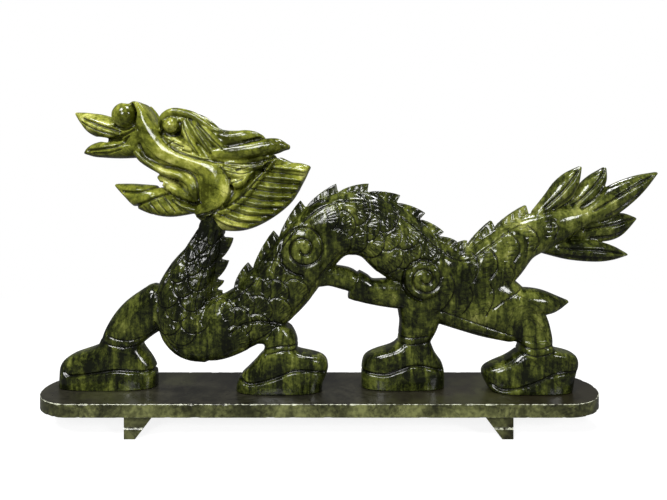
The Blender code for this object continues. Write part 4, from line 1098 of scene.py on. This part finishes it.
class DRAGON_OT_body(bpy.types.Operator):
    """Carve the dark stone: neck, trunk, legs, paws, crest, arm and tail."""

    bl_idname = "dragon.body"
    bl_label = "Carve the body"

    def execute(self, context):
        sizes, colours = settings(context)
        material = stone("dark_serpentine", BODY_PALETTE, colours, bands=0.5, spread=48.0, start=0.43)
        clay = Clay()
        clay.limb(TRUNK, TRUNK_HALF)
        clay.limb(NECK, NECK_HALF)
        clay.limb(RUMP, RUMP_HALF)
        clay.limb(UPPER_ARM, UPPER_ARM_HALF, ends=(ROUND, ARM_TIP))
        clay.limb(FOREARM, FOREARM_HALF, ends=(FOREARM_TIP, ROUND), square=3.2)
        clay.limb(SPUR, SPUR_HALF, y=(SPUR_OUT, SPUR_OUT), ends=(ROUND, POINT), square=2.2, taper=0.7)
        for name, (leg, side) in LEGS.items():
            clay.limb(leg, LEG_HALF, y=(0.0, side * LEG_OUT))
            clay.boot(PAWS[name], PAW_HALF, side * LEG_OUT)
        for number, leaf in enumerate(TAIL_LEAVES):
            out = LEAF_OUT * (FAR if number % 2 else NEAR)
            clay.limb(leaf, LEAF_HALF, y=(out, out), ends=(ROUND, POINT), square=1.8)
        for curl in (SHOULDER_CURL, HIP_CURL):
            clay.ball(curl, CURL_HALF, CURL_OUT)
        fine_marks = self.crest(clay, sizes, material)
        edges, steps = self.scales(sizes, material, fine_marks)
        bold = body_bold().object("body_bold")
        lines = joined("body_lines", body_lines().object("body_strokes"), edges)
        ledges = joined("body_steps", Marks().object("body_step_strokes"), steps)
        fine = joined("body_hatch", rump_hatch().object("body_fine"), fine_marks)
        # The last number of a set is how much stain and painted shade darken its grooves.
        cut_sets = [(ledges, STEP_WIDTH, STEP_DEPTH, 0.6, 0.0),
                    (bold, sizes.bold_width, sizes.bold_depth, 0.0, 0.85),
                    (lines, sizes.line_width, sizes.line_depth, 0.5, 0.9),
                    (fine, sizes.hatch_width, sizes.hatch_depth, 0.6, 0.7)]
        mesh = carved("dragon_body", clay, sizes, cut_sets, material)
        tones(mesh, BODY_PATCHES)
        shown("dragon_body", mesh, material, "dark_green_stone", "body")
        return {"FINISHED"}

    def crest(self, clay, sizes, material):
        """Set the crest's plates into the clay; gives their hatch cuts."""
        tree = crest_tree()
        plate = unit_plate()
        hatch = unit_strokes("crest_cuts", CREST_CUTS)
        marks = []
        for name, spine, plates, rise in (("neck_crest", NECK, NECK_PLATES, -sizes.crest_rise),
                                          ("trunk_crest", TRUNK, TRUNK_PLATES, sizes.crest_rise)):
            for unit in (plate, hatch):
                line = crest_line(name, spine, plates)
                tree.put(line, {"Unit": unit, "Rise": rise, "Material": material})
                mesh = plain_mesh(line, name)
                if unit is plate:
                    clay.take(mesh)
                else:
                    marks.append(mesh)
        for unit in (plate, hatch):
            bpy.data.objects.remove(unit, do_unlink=True)
        return marks

    def scales(self, sizes, material, fine_marks):
        """Rows of scales along trunk and neck: gives edges and steps, adds hatching to the fine marks."""
        rows = scale_tree()
        edges = []
        steps = []
        curls = [in_frame(x, z) for x, z, _ in (SHOULDER_CURL, HIP_CURL)]
        for name, strokes, kept in (("scale_edge", SCALE_ARC, edges), ("scale_step", SCALE_STEP, steps),
                                    ("scale_hatch", SCALE_HATCH, fine_marks)):
            unit = unit_strokes(name, strokes)
            for place, spine, first, last in SCALE_SPANS:
                path = spine_curve(place, spine, first, last)
                rows.put(path, {"Unit": unit, "Pitch": sizes.scale_pitch, "Clear": SCALE_CLEAR * MM,
                                "Seed": SCALE_SEED, "Shoulder": curls[0], "Hip": curls[1],
                                "Material": material})
                kept.append(plain_mesh(path, name))
            bpy.data.objects.remove(unit, do_unlink=True)
        return edges, steps


def joined(name, obj, meshes):
    """Loose-edge meshes joined into one object."""
    bm = bmesh.new()
    bm.from_mesh(obj.data)
    for mesh in meshes:
        bm.from_mesh(mesh)
    made = bpy.data.meshes.new(name)
    bm.to_mesh(made)
    bm.free()
    bpy.data.objects.remove(obj, do_unlink=True)
    return linked(name, made)


def body_bold():
    """Gouged grooves of the body: curls, leaf ribs, the foreleg's upper edge and the paws' soles."""
    marks = Marks()
    for x, z, radius in (SHOULDER_CURL, HIP_CURL):
        marks.spiral((x, z, radius * CURL_REACH), CURL_EYE, CURL_TURNS, CURL_START, CLOCKWISE)
    for leaf in TAIL_LEAVES:
        for rib in LEAF_RIBS:
            marks.stroke(edge_line(leaf, *rib))
    marks.traced(FLANK_DEPTH, FORELEG_LINE, *PAW_LINES)
    return marks


def rump_hatch():
    """Short cuts behind each crescent of the rump and the tail."""
    marks = Marks()
    for arc in RUMP_ARCS:
        for (x, y), (x_next, y_next) in zip(arc, arc[1:]):
            for part in HATCH_PARTS:
                spot = np.array((x + (x_next - x) * part, y + (y_next - y) * part))
                stroke = [tuple(spot - (HATCH_START, HATCH_RISE)), tuple(spot - (HATCH_END, -HATCH_RISE))]
                marks.traced(FLANK_DEPTH, stroke)
    return marks


def body_lines():
    """Carved lines of the body: along trunk and neck, on belly, rump, tail and thigh, round the ankles."""
    marks = Marks()
    for line in TRUNK_LINES:
        marks.stroke(edge_line(TRUNK, *line))
    for line in NECK_LINES:
        marks.stroke(edge_line(NECK, *line))
    marks.traced(BELLY_DEPTH, BELLY_LINE)
    marks.traced(FLANK_DEPTH, *RUMP_ARCS, THIGH_LINE)
    marks.traced(ANKLE_LINE_DEPTH, *ANKLES)
    return marks


class DRAGON_OT_head(bpy.types.Operator):
    """Carve the lighter stone: head, horns, jaw and mane."""

    bl_idname = "dragon.head"
    bl_label = "Carve the head"

    def execute(self, context):
        sizes, colours = settings(context)
        material = stone("pale_serpentine", HEAD_PALETTE, colours, bands=0.25, spread=36.0, start=0.38)
        clay = Clay()
        for spine, half in HEAD_CORE:
            clay.limb(spine, half)
        clay.limb(MANE, MANE_HALF, ends=(ROUND, POINT), taper=0.25)
        for lock in mane_locks(0.0):
            clay.limb(lock, LOCK_HALF, square=2.0)
        for leaf in (LIP_LEAF_UPPER, LIP_LEAF_LOWER):
            clay.limb(leaf, LIP_LEAF_HALF, ends=(ROUND, POINT), square=2.0)
        clay.limb(MUZZLE, MUZZLE_HALF, taper=0.2, square=3.0)
        clay.pair(MUZZLE, MUZZLE_ROOF_HALF, MUZZLE_ROOF_OUT, taper=0.6, square=1.5)
        clay.limb(LIP, LIP_HALF, taper=0.3, square=2.3)
        clay.limb(TOOTH, TOOTH_HALF)
        clay.limb(LOWER_LIP, LOWER_LIP_HALF)
        clay.limb(JAW, JAW_HALF, ends=(ROUND, POINT))
        clay.limb(NOSE_ROLL, NOSE_ROLL_HALF)
        clay.pair(HORN_UPPER, HORN_UPPER_HALF, HORN_UPPER_OUT, ends=(ROUND, POINT))
        clay.pair(HORN_LOWER, HORN_LOWER_HALF, HORN_LOWER_OUT, ends=(ROUND, 1.0), square=2.2)
        for leaf in EAR_LEAVES:
            clay.pair(leaf, EAR_HALF, EAR_OUT, ends=(ROUND, POINT), square=1.8)
        clay.ball(EYE_BALL, EYE_HALF, EYE_OUT)
        clay.ball(NOSE_BALL, NOSE_BALL_HALF, NOSE_BALL_OUT)
        for ridge in (BROW_BAND, *BROW_LOCKS):
            clay.ridge(ridge, BROW_RIDGE_OUT)
        clay.ridge(EYE_LEAF, EYE_LEAF_OUT)
        clay.ridge(JAW_RIDGE, JAW_RIDGE_OUT)
        bold = head_bold().object("head_bold")
        lines = head_lines().object("head_lines")
        # The last number of a set is how much stain and painted shade darken its grooves.
        cut_sets = [(bold, sizes.bold_width, sizes.bold_depth, 0.2, 0.85),
                    (lines, sizes.line_width, sizes.line_depth, 0.3, 0.8)]
        mesh = carved("dragon_head", clay, sizes, cut_sets, material)
        tones(mesh, HEAD_PATCHES)
        shown("dragon_head", mesh, material, "light_green_stone", "head")
        return {"FINISHED"}


def mane_locks(shift):
    """The mane's locks, evenly from the first to the last; shifted by half, the valleys between them."""
    spines = []
    for number in range(LOCK_COUNT - math.ceil(shift)):
        part = (number + shift) * 2 / (LOCK_COUNT - 1)
        weights = ((1 - part) * (2 - part) / 2, part * (2 - part), part * (part - 1) / 2)
        spines.append([tuple(np.dot(weights, line)) for line in (LOCK_ROOTS, LOCK_MIDDLES, LOCK_TIPS)])
    return spines


def head_bold():
    """Gouged grooves of the head: lip, brow, cheek, horn, lip leaves, jaw ridge, jaw, eye and nose."""
    marks = Marks()
    marks.traced(LIP_DEPTH, LIP_GROOVE)
    marks.traced(FACE_DEPTH, BROW_GROOVE, CHEEK_GROOVE)
    marks.traced(HORN_DEPTH, HORN_GROOVE)
    marks.traced(LIP_LEAF_DEPTH, *LIP_LEAF_GROOVES)
    marks.traced(JAW_DEPTH, RIDGE_GROOVE, *JAW_GROOVES)
    marks.ring(EYE_RING, *EYE_SWEEP)
    marks.ring(NOSE_RING, *NOSE_SWEEP)
    return marks


def head_lines():
    """Carved lines of the head: ears, beard, lip leaves, eye, brow locks and the mane's valleys."""
    marks = Marks()
    marks.traced(FACE_DEPTH, *EAR_LINES)
    marks.traced(JAW_DEPTH, *BEARD_LINES)
    marks.traced(LIP_LEAF_DEPTH, *LIP_LEAF_LINES)
    marks.traced(EYE_DEPTH, *EYE_LINES)
    marks.traced(FLANK_DEPTH, *BROW_LINES)
    for valley in mane_locks(0.5):
        marks.stroke(valley)
    return marks


def worn_slab(bm, outline, low, high, chips):
    """A slab over an outline: its edges are chamfered by a width that wanders, with chips here and there."""
    count = len(outline)
    rings = []
    for level, (z, lifted) in enumerate(((low, 0), (low, 1), (high, 1), (high, 0))):
        ring = []
        for k, (x, y) in enumerate(outline):
            wear = chips[level][k]
            ahead = Vector((*outline[(k + 1) % count], 0.0)) - Vector((*outline[k - 1], 0.0))
            inward = Vector((-ahead.y, ahead.x, 0.0)).normalized()
            lift = wear if level == 1 else -wear if level == 2 else 0.0
            shift = Vector((0.0, 0.0, 0.0)) if lifted else inward * wear
            ring.append(bm.verts.new(Vector((x, y, z + lift)) + shift))
        rings.append(ring)
    for a, b in zip(rings, rings[1:]):
        for k in range(count):
            bm.faces.new((a[k - 1], a[k], b[k], b[k - 1]))
    bm.faces.new(list(reversed(rings[0])))
    bm.faces.new(rings[-1])
    bmesh.ops.recalc_face_normals(bm, faces=bm.faces)


def chip_widths(count, most, rng):
    """Wear at each point of an edge: a fine line, with a few chips."""
    wear = WEAR_LEAST + WEAR_VARIES * rng.random(count)
    for start in rng.integers(0, count, count // CHIP_EVERY):
        wide = rng.integers(1, CHIP_POINTS)
        wear[np.arange(start, start + wide) % count] = CHIP_LEAST + (1 - CHIP_LEAST) * rng.random()
    return wear * most


def slab_mesh(name, outline, low, high, most, seed):
    """A worn slab as a mesh with flat faces."""
    rng = np.random.default_rng(seed)
    count = len(outline)
    upper = chip_widths(count, most, rng)
    lower = chip_widths(count, most, rng)
    bm = bmesh.new()
    worn_slab(bm, outline, low, high, (lower, lower, upper, upper))
    mesh = bpy.data.meshes.new(name)
    bm.to_mesh(mesh)
    bm.free()
    mark_faces(mesh)
    return mesh


def mark_faces(mesh, green=1.0):
    """Store how green each flank is, and which faces are worn slopes between a flank and a flat."""
    rise = np.abs([face.normal.z for face in mesh.polygons])
    slopes = (rise > FLANK_RISE) & (rise < FLAT_RISE)
    for name, value in (("flank", (rise < FLANK_RISE) * green), ("chip", slopes)):
        store(mesh, name, value, "FACE")


def oblong(length, depth, centre, step):
    """An oblong outline with half-round ends, as points a step apart, running anticlockwise."""
    radius = depth / 2
    straight = length - depth
    points = []
    for end in (1, -1):
        arc = int(math.pi * radius / step)
        for k in range(arc):
            angle = math.pi * (k / arc - 0.5)
            x = centre + end * (straight / 2 + radius * math.cos(angle))
            points.append((x, end * radius * math.sin(angle)))
        runs = int(straight / step)
        for k in range(runs):
            points.append((centre + end * (straight / 2 - straight * k / runs), end * radius))
    return points


def mottled(name, colours):
    """The plinth's stone: grey-brown above, mottled green at the sides, pale where its edges are chipped."""
    material, sheet, shader = new_finish(name)
    place = sheet.value("ShaderNodeTexCoord", output="Object")
    clouds = sheet.noise(place, scale=38.0, detail=7.0, roughness=0.62, distortion=0.8)
    flecks = sheet.noise(place, scale=420.0, detail=3.0)
    grey = tuple(colours.plinth_grey)
    green = tuple(colours.plinth_green)
    tone = clouds + (flecks - 0.5) * 0.35
    greys = [(0.36, shade(grey, 0.5)), (0.5, grey), (0.68, shade(grey, 1.7))]
    upper = sheet.ramp(tone, greys)
    greens = [(0.38, shade(green, 0.2)), (0.47, shade(green, 0.5)), (0.55, green), (0.66, shade(green, 2.0))]
    sides = sheet.ramp(tone, greens)
    along = sheet.value("ShaderNodeSeparateXYZ", inputs={"Vector": place}, output="X")
    upper = sheet.mix(along.step(-0.02, 0.10) * 0.8, upper, tuple(colours.plinth_brown))
    broad = sheet.noise(place, scale=17.0, detail=5.0)
    upper = sheet.mix(broad.step(0.54, 0.66) * 0.45, upper, shade(green, 0.6))
    flank = sheet.stored("flank")
    chip = sheet.stored("chip")
    tint = sheet.mix(flank, upper, sides)
    tint = sheet.mix(chip * flecks.step(0.35, 0.6), tint, PALE_CHIP)
    wander = sheet.noise(place, scale=22.0, detail=6.0, roughness=0.6, distortion=1.2)
    crack = 1.0 - abs(wander - 0.5).step(0.0, 0.008)
    tint = sheet.mix(crack * 0.7, tint, shade(grey, 0.2))
    sheet.feed(shader, {"Base Color": tint, "Roughness": 0.22 + flecks * 0.2, "IOR": 1.5,
                        "Specular IOR Level": 0.35, "Coat Weight": 0.1, "Coat Roughness": 0.1})
    return material


class DRAGON_OT_plinth(bpy.types.Operator):
    """Make the oblong plinth with worn edges."""

    bl_idname = "dragon.plinth"
    bl_label = "Make the plinth"

    def execute(self, context):
        sizes, colours = settings(context)
        material = mottled("mottled_serpentine", colours)
        outline = oblong(PLINTH_HIGH.x - PLINTH_LOW.x, PLINTH_HIGH.y - PLINTH_LOW.y,
                         (PLINTH_LOW.x + PLINTH_HIGH.x) / 2, OUTLINE_STEP)
        mesh = slab_mesh("plinth_slab", outline, PLINTH_LOW.z, PLINTH_HIGH.z, sizes.edge_wear, WEAR_SEED)
        shown("plinth_slab", mesh, material, "mottled_stone", "plinth")
        return {"FINISHED"}


class DRAGON_OT_cross_feet(bpy.types.Operator):
    """Give the two cross feet the plinth's stone."""

    bl_idname = "dragon.cross_feet"
    bl_label = "Finish the cross feet"

    def execute(self, context):
        material = bpy.data.materials["mottled_serpentine"]
        for name in ("cross_foot_left", "cross_foot_right"):
            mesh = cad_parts[name].data
            mesh.materials.clear()
            mesh.materials.append(material)
            mark_faces(mesh, FOOT_GREEN)
        return {"FINISHED"}


class DRAGON_OT_pins(bpy.types.Operator):
    """Give the hidden pins their brushed steel."""

    bl_idname = "dragon.pins"
    bl_label = "Finish the pins"

    def execute(self, context):
        material, sheet, shader = new_finish("pin_steel")
        place = sheet.value("ShaderNodeTexCoord", output="Object")
        drawn = sheet.value("ShaderNodeMapping", inputs={"Vector": place, "Scale": (3000.0, 3000.0, 120.0)})
        brushed = sheet.noise(drawn, scale=1.0, detail=2.0)
        sheet.feed(shader, {"Base Color": (0.55, 0.55, 0.55, 1.0), "Metallic": 1.0,
                            "Roughness": 0.28 + brushed * 0.2})
        for name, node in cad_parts.items():
            if "pin" in name.split("_"):
                node.data.materials.clear()
                node.data.materials.append(material)
        return {"FINISHED"}


class DRAGON_OT_stage(bpy.types.Operator):
    """Set the floor, the lamps, the background and the camera."""

    bl_idname = "dragon.stage"
    bl_label = "Set the stage"

    def execute(self, context):
        scene = context.scene
        colours = scene.dragon_colours
        floor_mesh = bpy.data.meshes.new("floor")
        corners = [(x * FLOOR_REACH, y * FLOOR_REACH, 0) for x, y in ((-1, -1), (1, -1), (1, 1), (-1, 1))]
        floor_mesh.from_pydata(corners, [], [(0, 1, 2, 3)])
        floor = linked("floor", floor_mesh)
        floor.data.materials.append(self.floor_finish(colours))
        self.background(scene, colours)
        for name, values in LAMPS.items():
            self.lamp(name, *values)
        camera = bpy.data.cameras.new("camera")
        camera.sensor_width = SENSOR
        camera.lens = SENSOR * FOCAL / PHOTO[0]
        camera.shift_x = (PHOTO[0] / 2 - VANISHING[0]) / PHOTO[0]
        camera.shift_y = (VANISHING[1] - PHOTO[1] / 2) / PHOTO[0]
        camera.clip_start = NEAREST
        holder = linked("camera", camera)
        holder.location = Vector(EYE) * MM + ORIGIN
        holder.rotation_euler = (math.pi / 2, 0.0, 0.0)
        scene.camera = holder
        scene.view_settings.view_transform = "Standard"
        return {"FINISHED"}

    def floor_finish(self, colours):
        """A matt floor that reads as the background and keeps the figure's shadow."""
        material = bpy.data.materials.new("floor")
        material.use_nodes = True
        sheet = Sheet(material.node_tree)
        sheet.tree.nodes.clear()
        dim = sheet.value("ShaderNodeBsdfDiffuse", inputs={"Color": FLOOR_DIM})
        matt = sheet.value("ShaderNodeBsdfDiffuse", inputs={"Color": FLOOR_MATT})
        white = (*colours.floor, 1.0)
        glow = sheet.value("ShaderNodeEmission", inputs={"Color": white, "Strength": FLOOR_GLOW})
        lit = sheet.value("ShaderNodeAddShader", inputs={0: glow, 1: matt})
        place = sheet.value("ShaderNodeTexCoord", output="Object")
        away = sheet.vector("LENGTH", {0: place}, "Value")
        plain = sheet.value("ShaderNodeEmission", inputs={"Color": white, "Strength": 1.0})
        fading = sheet.value("ShaderNodeMixShader", inputs={"Fac": away.step(*FLOOR_FADE), 1: lit, 2: plain})
        mixed = sheet.value("ShaderNodeMixShader", inputs={"Fac": self.looks(sheet), 1: dim, 2: fading})
        sheet.node("ShaderNodeOutputMaterial", inputs={"Surface": mixed})
        return material

    def looks(self, sheet):
        """One for rays that look straight at the studio or through a piece, little for a reflection."""
        path = sheet.node("ShaderNodeLightPath")
        straight = Value(sheet, path.outputs["Is Camera Ray"])
        through = Value(sheet, path.outputs["Is Transmission Ray"])
        mirrored = Value(sheet, path.outputs["Is Glossy Ray"]) * MIRRORED
        return straight.maths("MAXIMUM", straight.maths("MAXIMUM", straight, through), mirrored)

    def background(self, scene, colours):
        """White for what looks straight at it, soft grey light for the rest."""
        world = bpy.data.worlds.new("studio")
        world.use_nodes = True
        scene.world = world
        sheet = Sheet(world.node_tree)
        sheet.tree.nodes.clear()
        white = sheet.value("ShaderNodeBackground", inputs={"Color": (*colours.floor, 1.0), "Strength": 1.0})
        soft = sheet.value("ShaderNodeBackground",
                           inputs={"Color": (1.0, 1.0, 1.0, 1.0), "Strength": SOFT_LIGHT})
        mixed = sheet.value("ShaderNodeMixShader", inputs={"Fac": self.looks(sheet), 1: soft, 2: white})
        sheet.node("ShaderNodeOutputWorld", inputs={"Surface": mixed})

    def lamp(self, name, place, aim, size, power):
        """A square soft lamp that looks at a point."""
        light = bpy.data.lights.new(name, "AREA")
        light.size = size
        light.energy = power
        lamp = linked(name, light)
        lamp.location = place
        lamp.rotation_euler = (Vector(aim) - Vector(place)).to_track_quat("-Z", "Y").to_euler()


class DRAGON_PT_panel(bpy.types.Panel):
    """The dragon's sizes, colours and steps in the sidebar."""

    bl_idname = "DRAGON_PT_panel"
    bl_label = "Carved dragon"
    bl_space_type = "VIEW_3D"
    bl_region_type = "UI"
    bl_category = "Dragon"

    def draw(self, context):
        for group in settings(context):
            for key in group.__annotations__:
                self.layout.prop(group, key)
        for step in STEPS_IN_ORDER:
            self.layout.operator(step.bl_idname)


STEPS_IN_ORDER = (DRAGON_OT_body, DRAGON_OT_head, DRAGON_OT_plinth, DRAGON_OT_cross_feet, DRAGON_OT_pins,
                  DRAGON_OT_stage)
CLASSES = (FigureSizes, FigureColours, *STEPS_IN_ORDER, DRAGON_PT_panel)


def register():
    """Register the classes and keep the settings on the scene."""
    for item in CLASSES:
        bpy.utils.register_class(item)
    bpy.types.Scene.dragon_sizes = bpy.props.PointerProperty(type=FigureSizes)
    bpy.types.Scene.dragon_colours = bpy.props.PointerProperty(type=FigureColours)


def unregister():
    """Take the settings and the classes away again."""
    del bpy.types.Scene.dragon_colours
    del bpy.types.Scene.dragon_sizes
    for item in reversed(CLASSES):
        bpy.utils.unregister_class(item)


def main():
    """Run every step in order."""
    register()
    bpy.ops.dragon.body()
    bpy.ops.dragon.head()
    bpy.ops.dragon.plinth()
    bpy.ops.dragon.cross_feet()
    bpy.ops.dragon.pins()
    bpy.ops.dragon.stage()


if __name__ == "__main__":
    main()
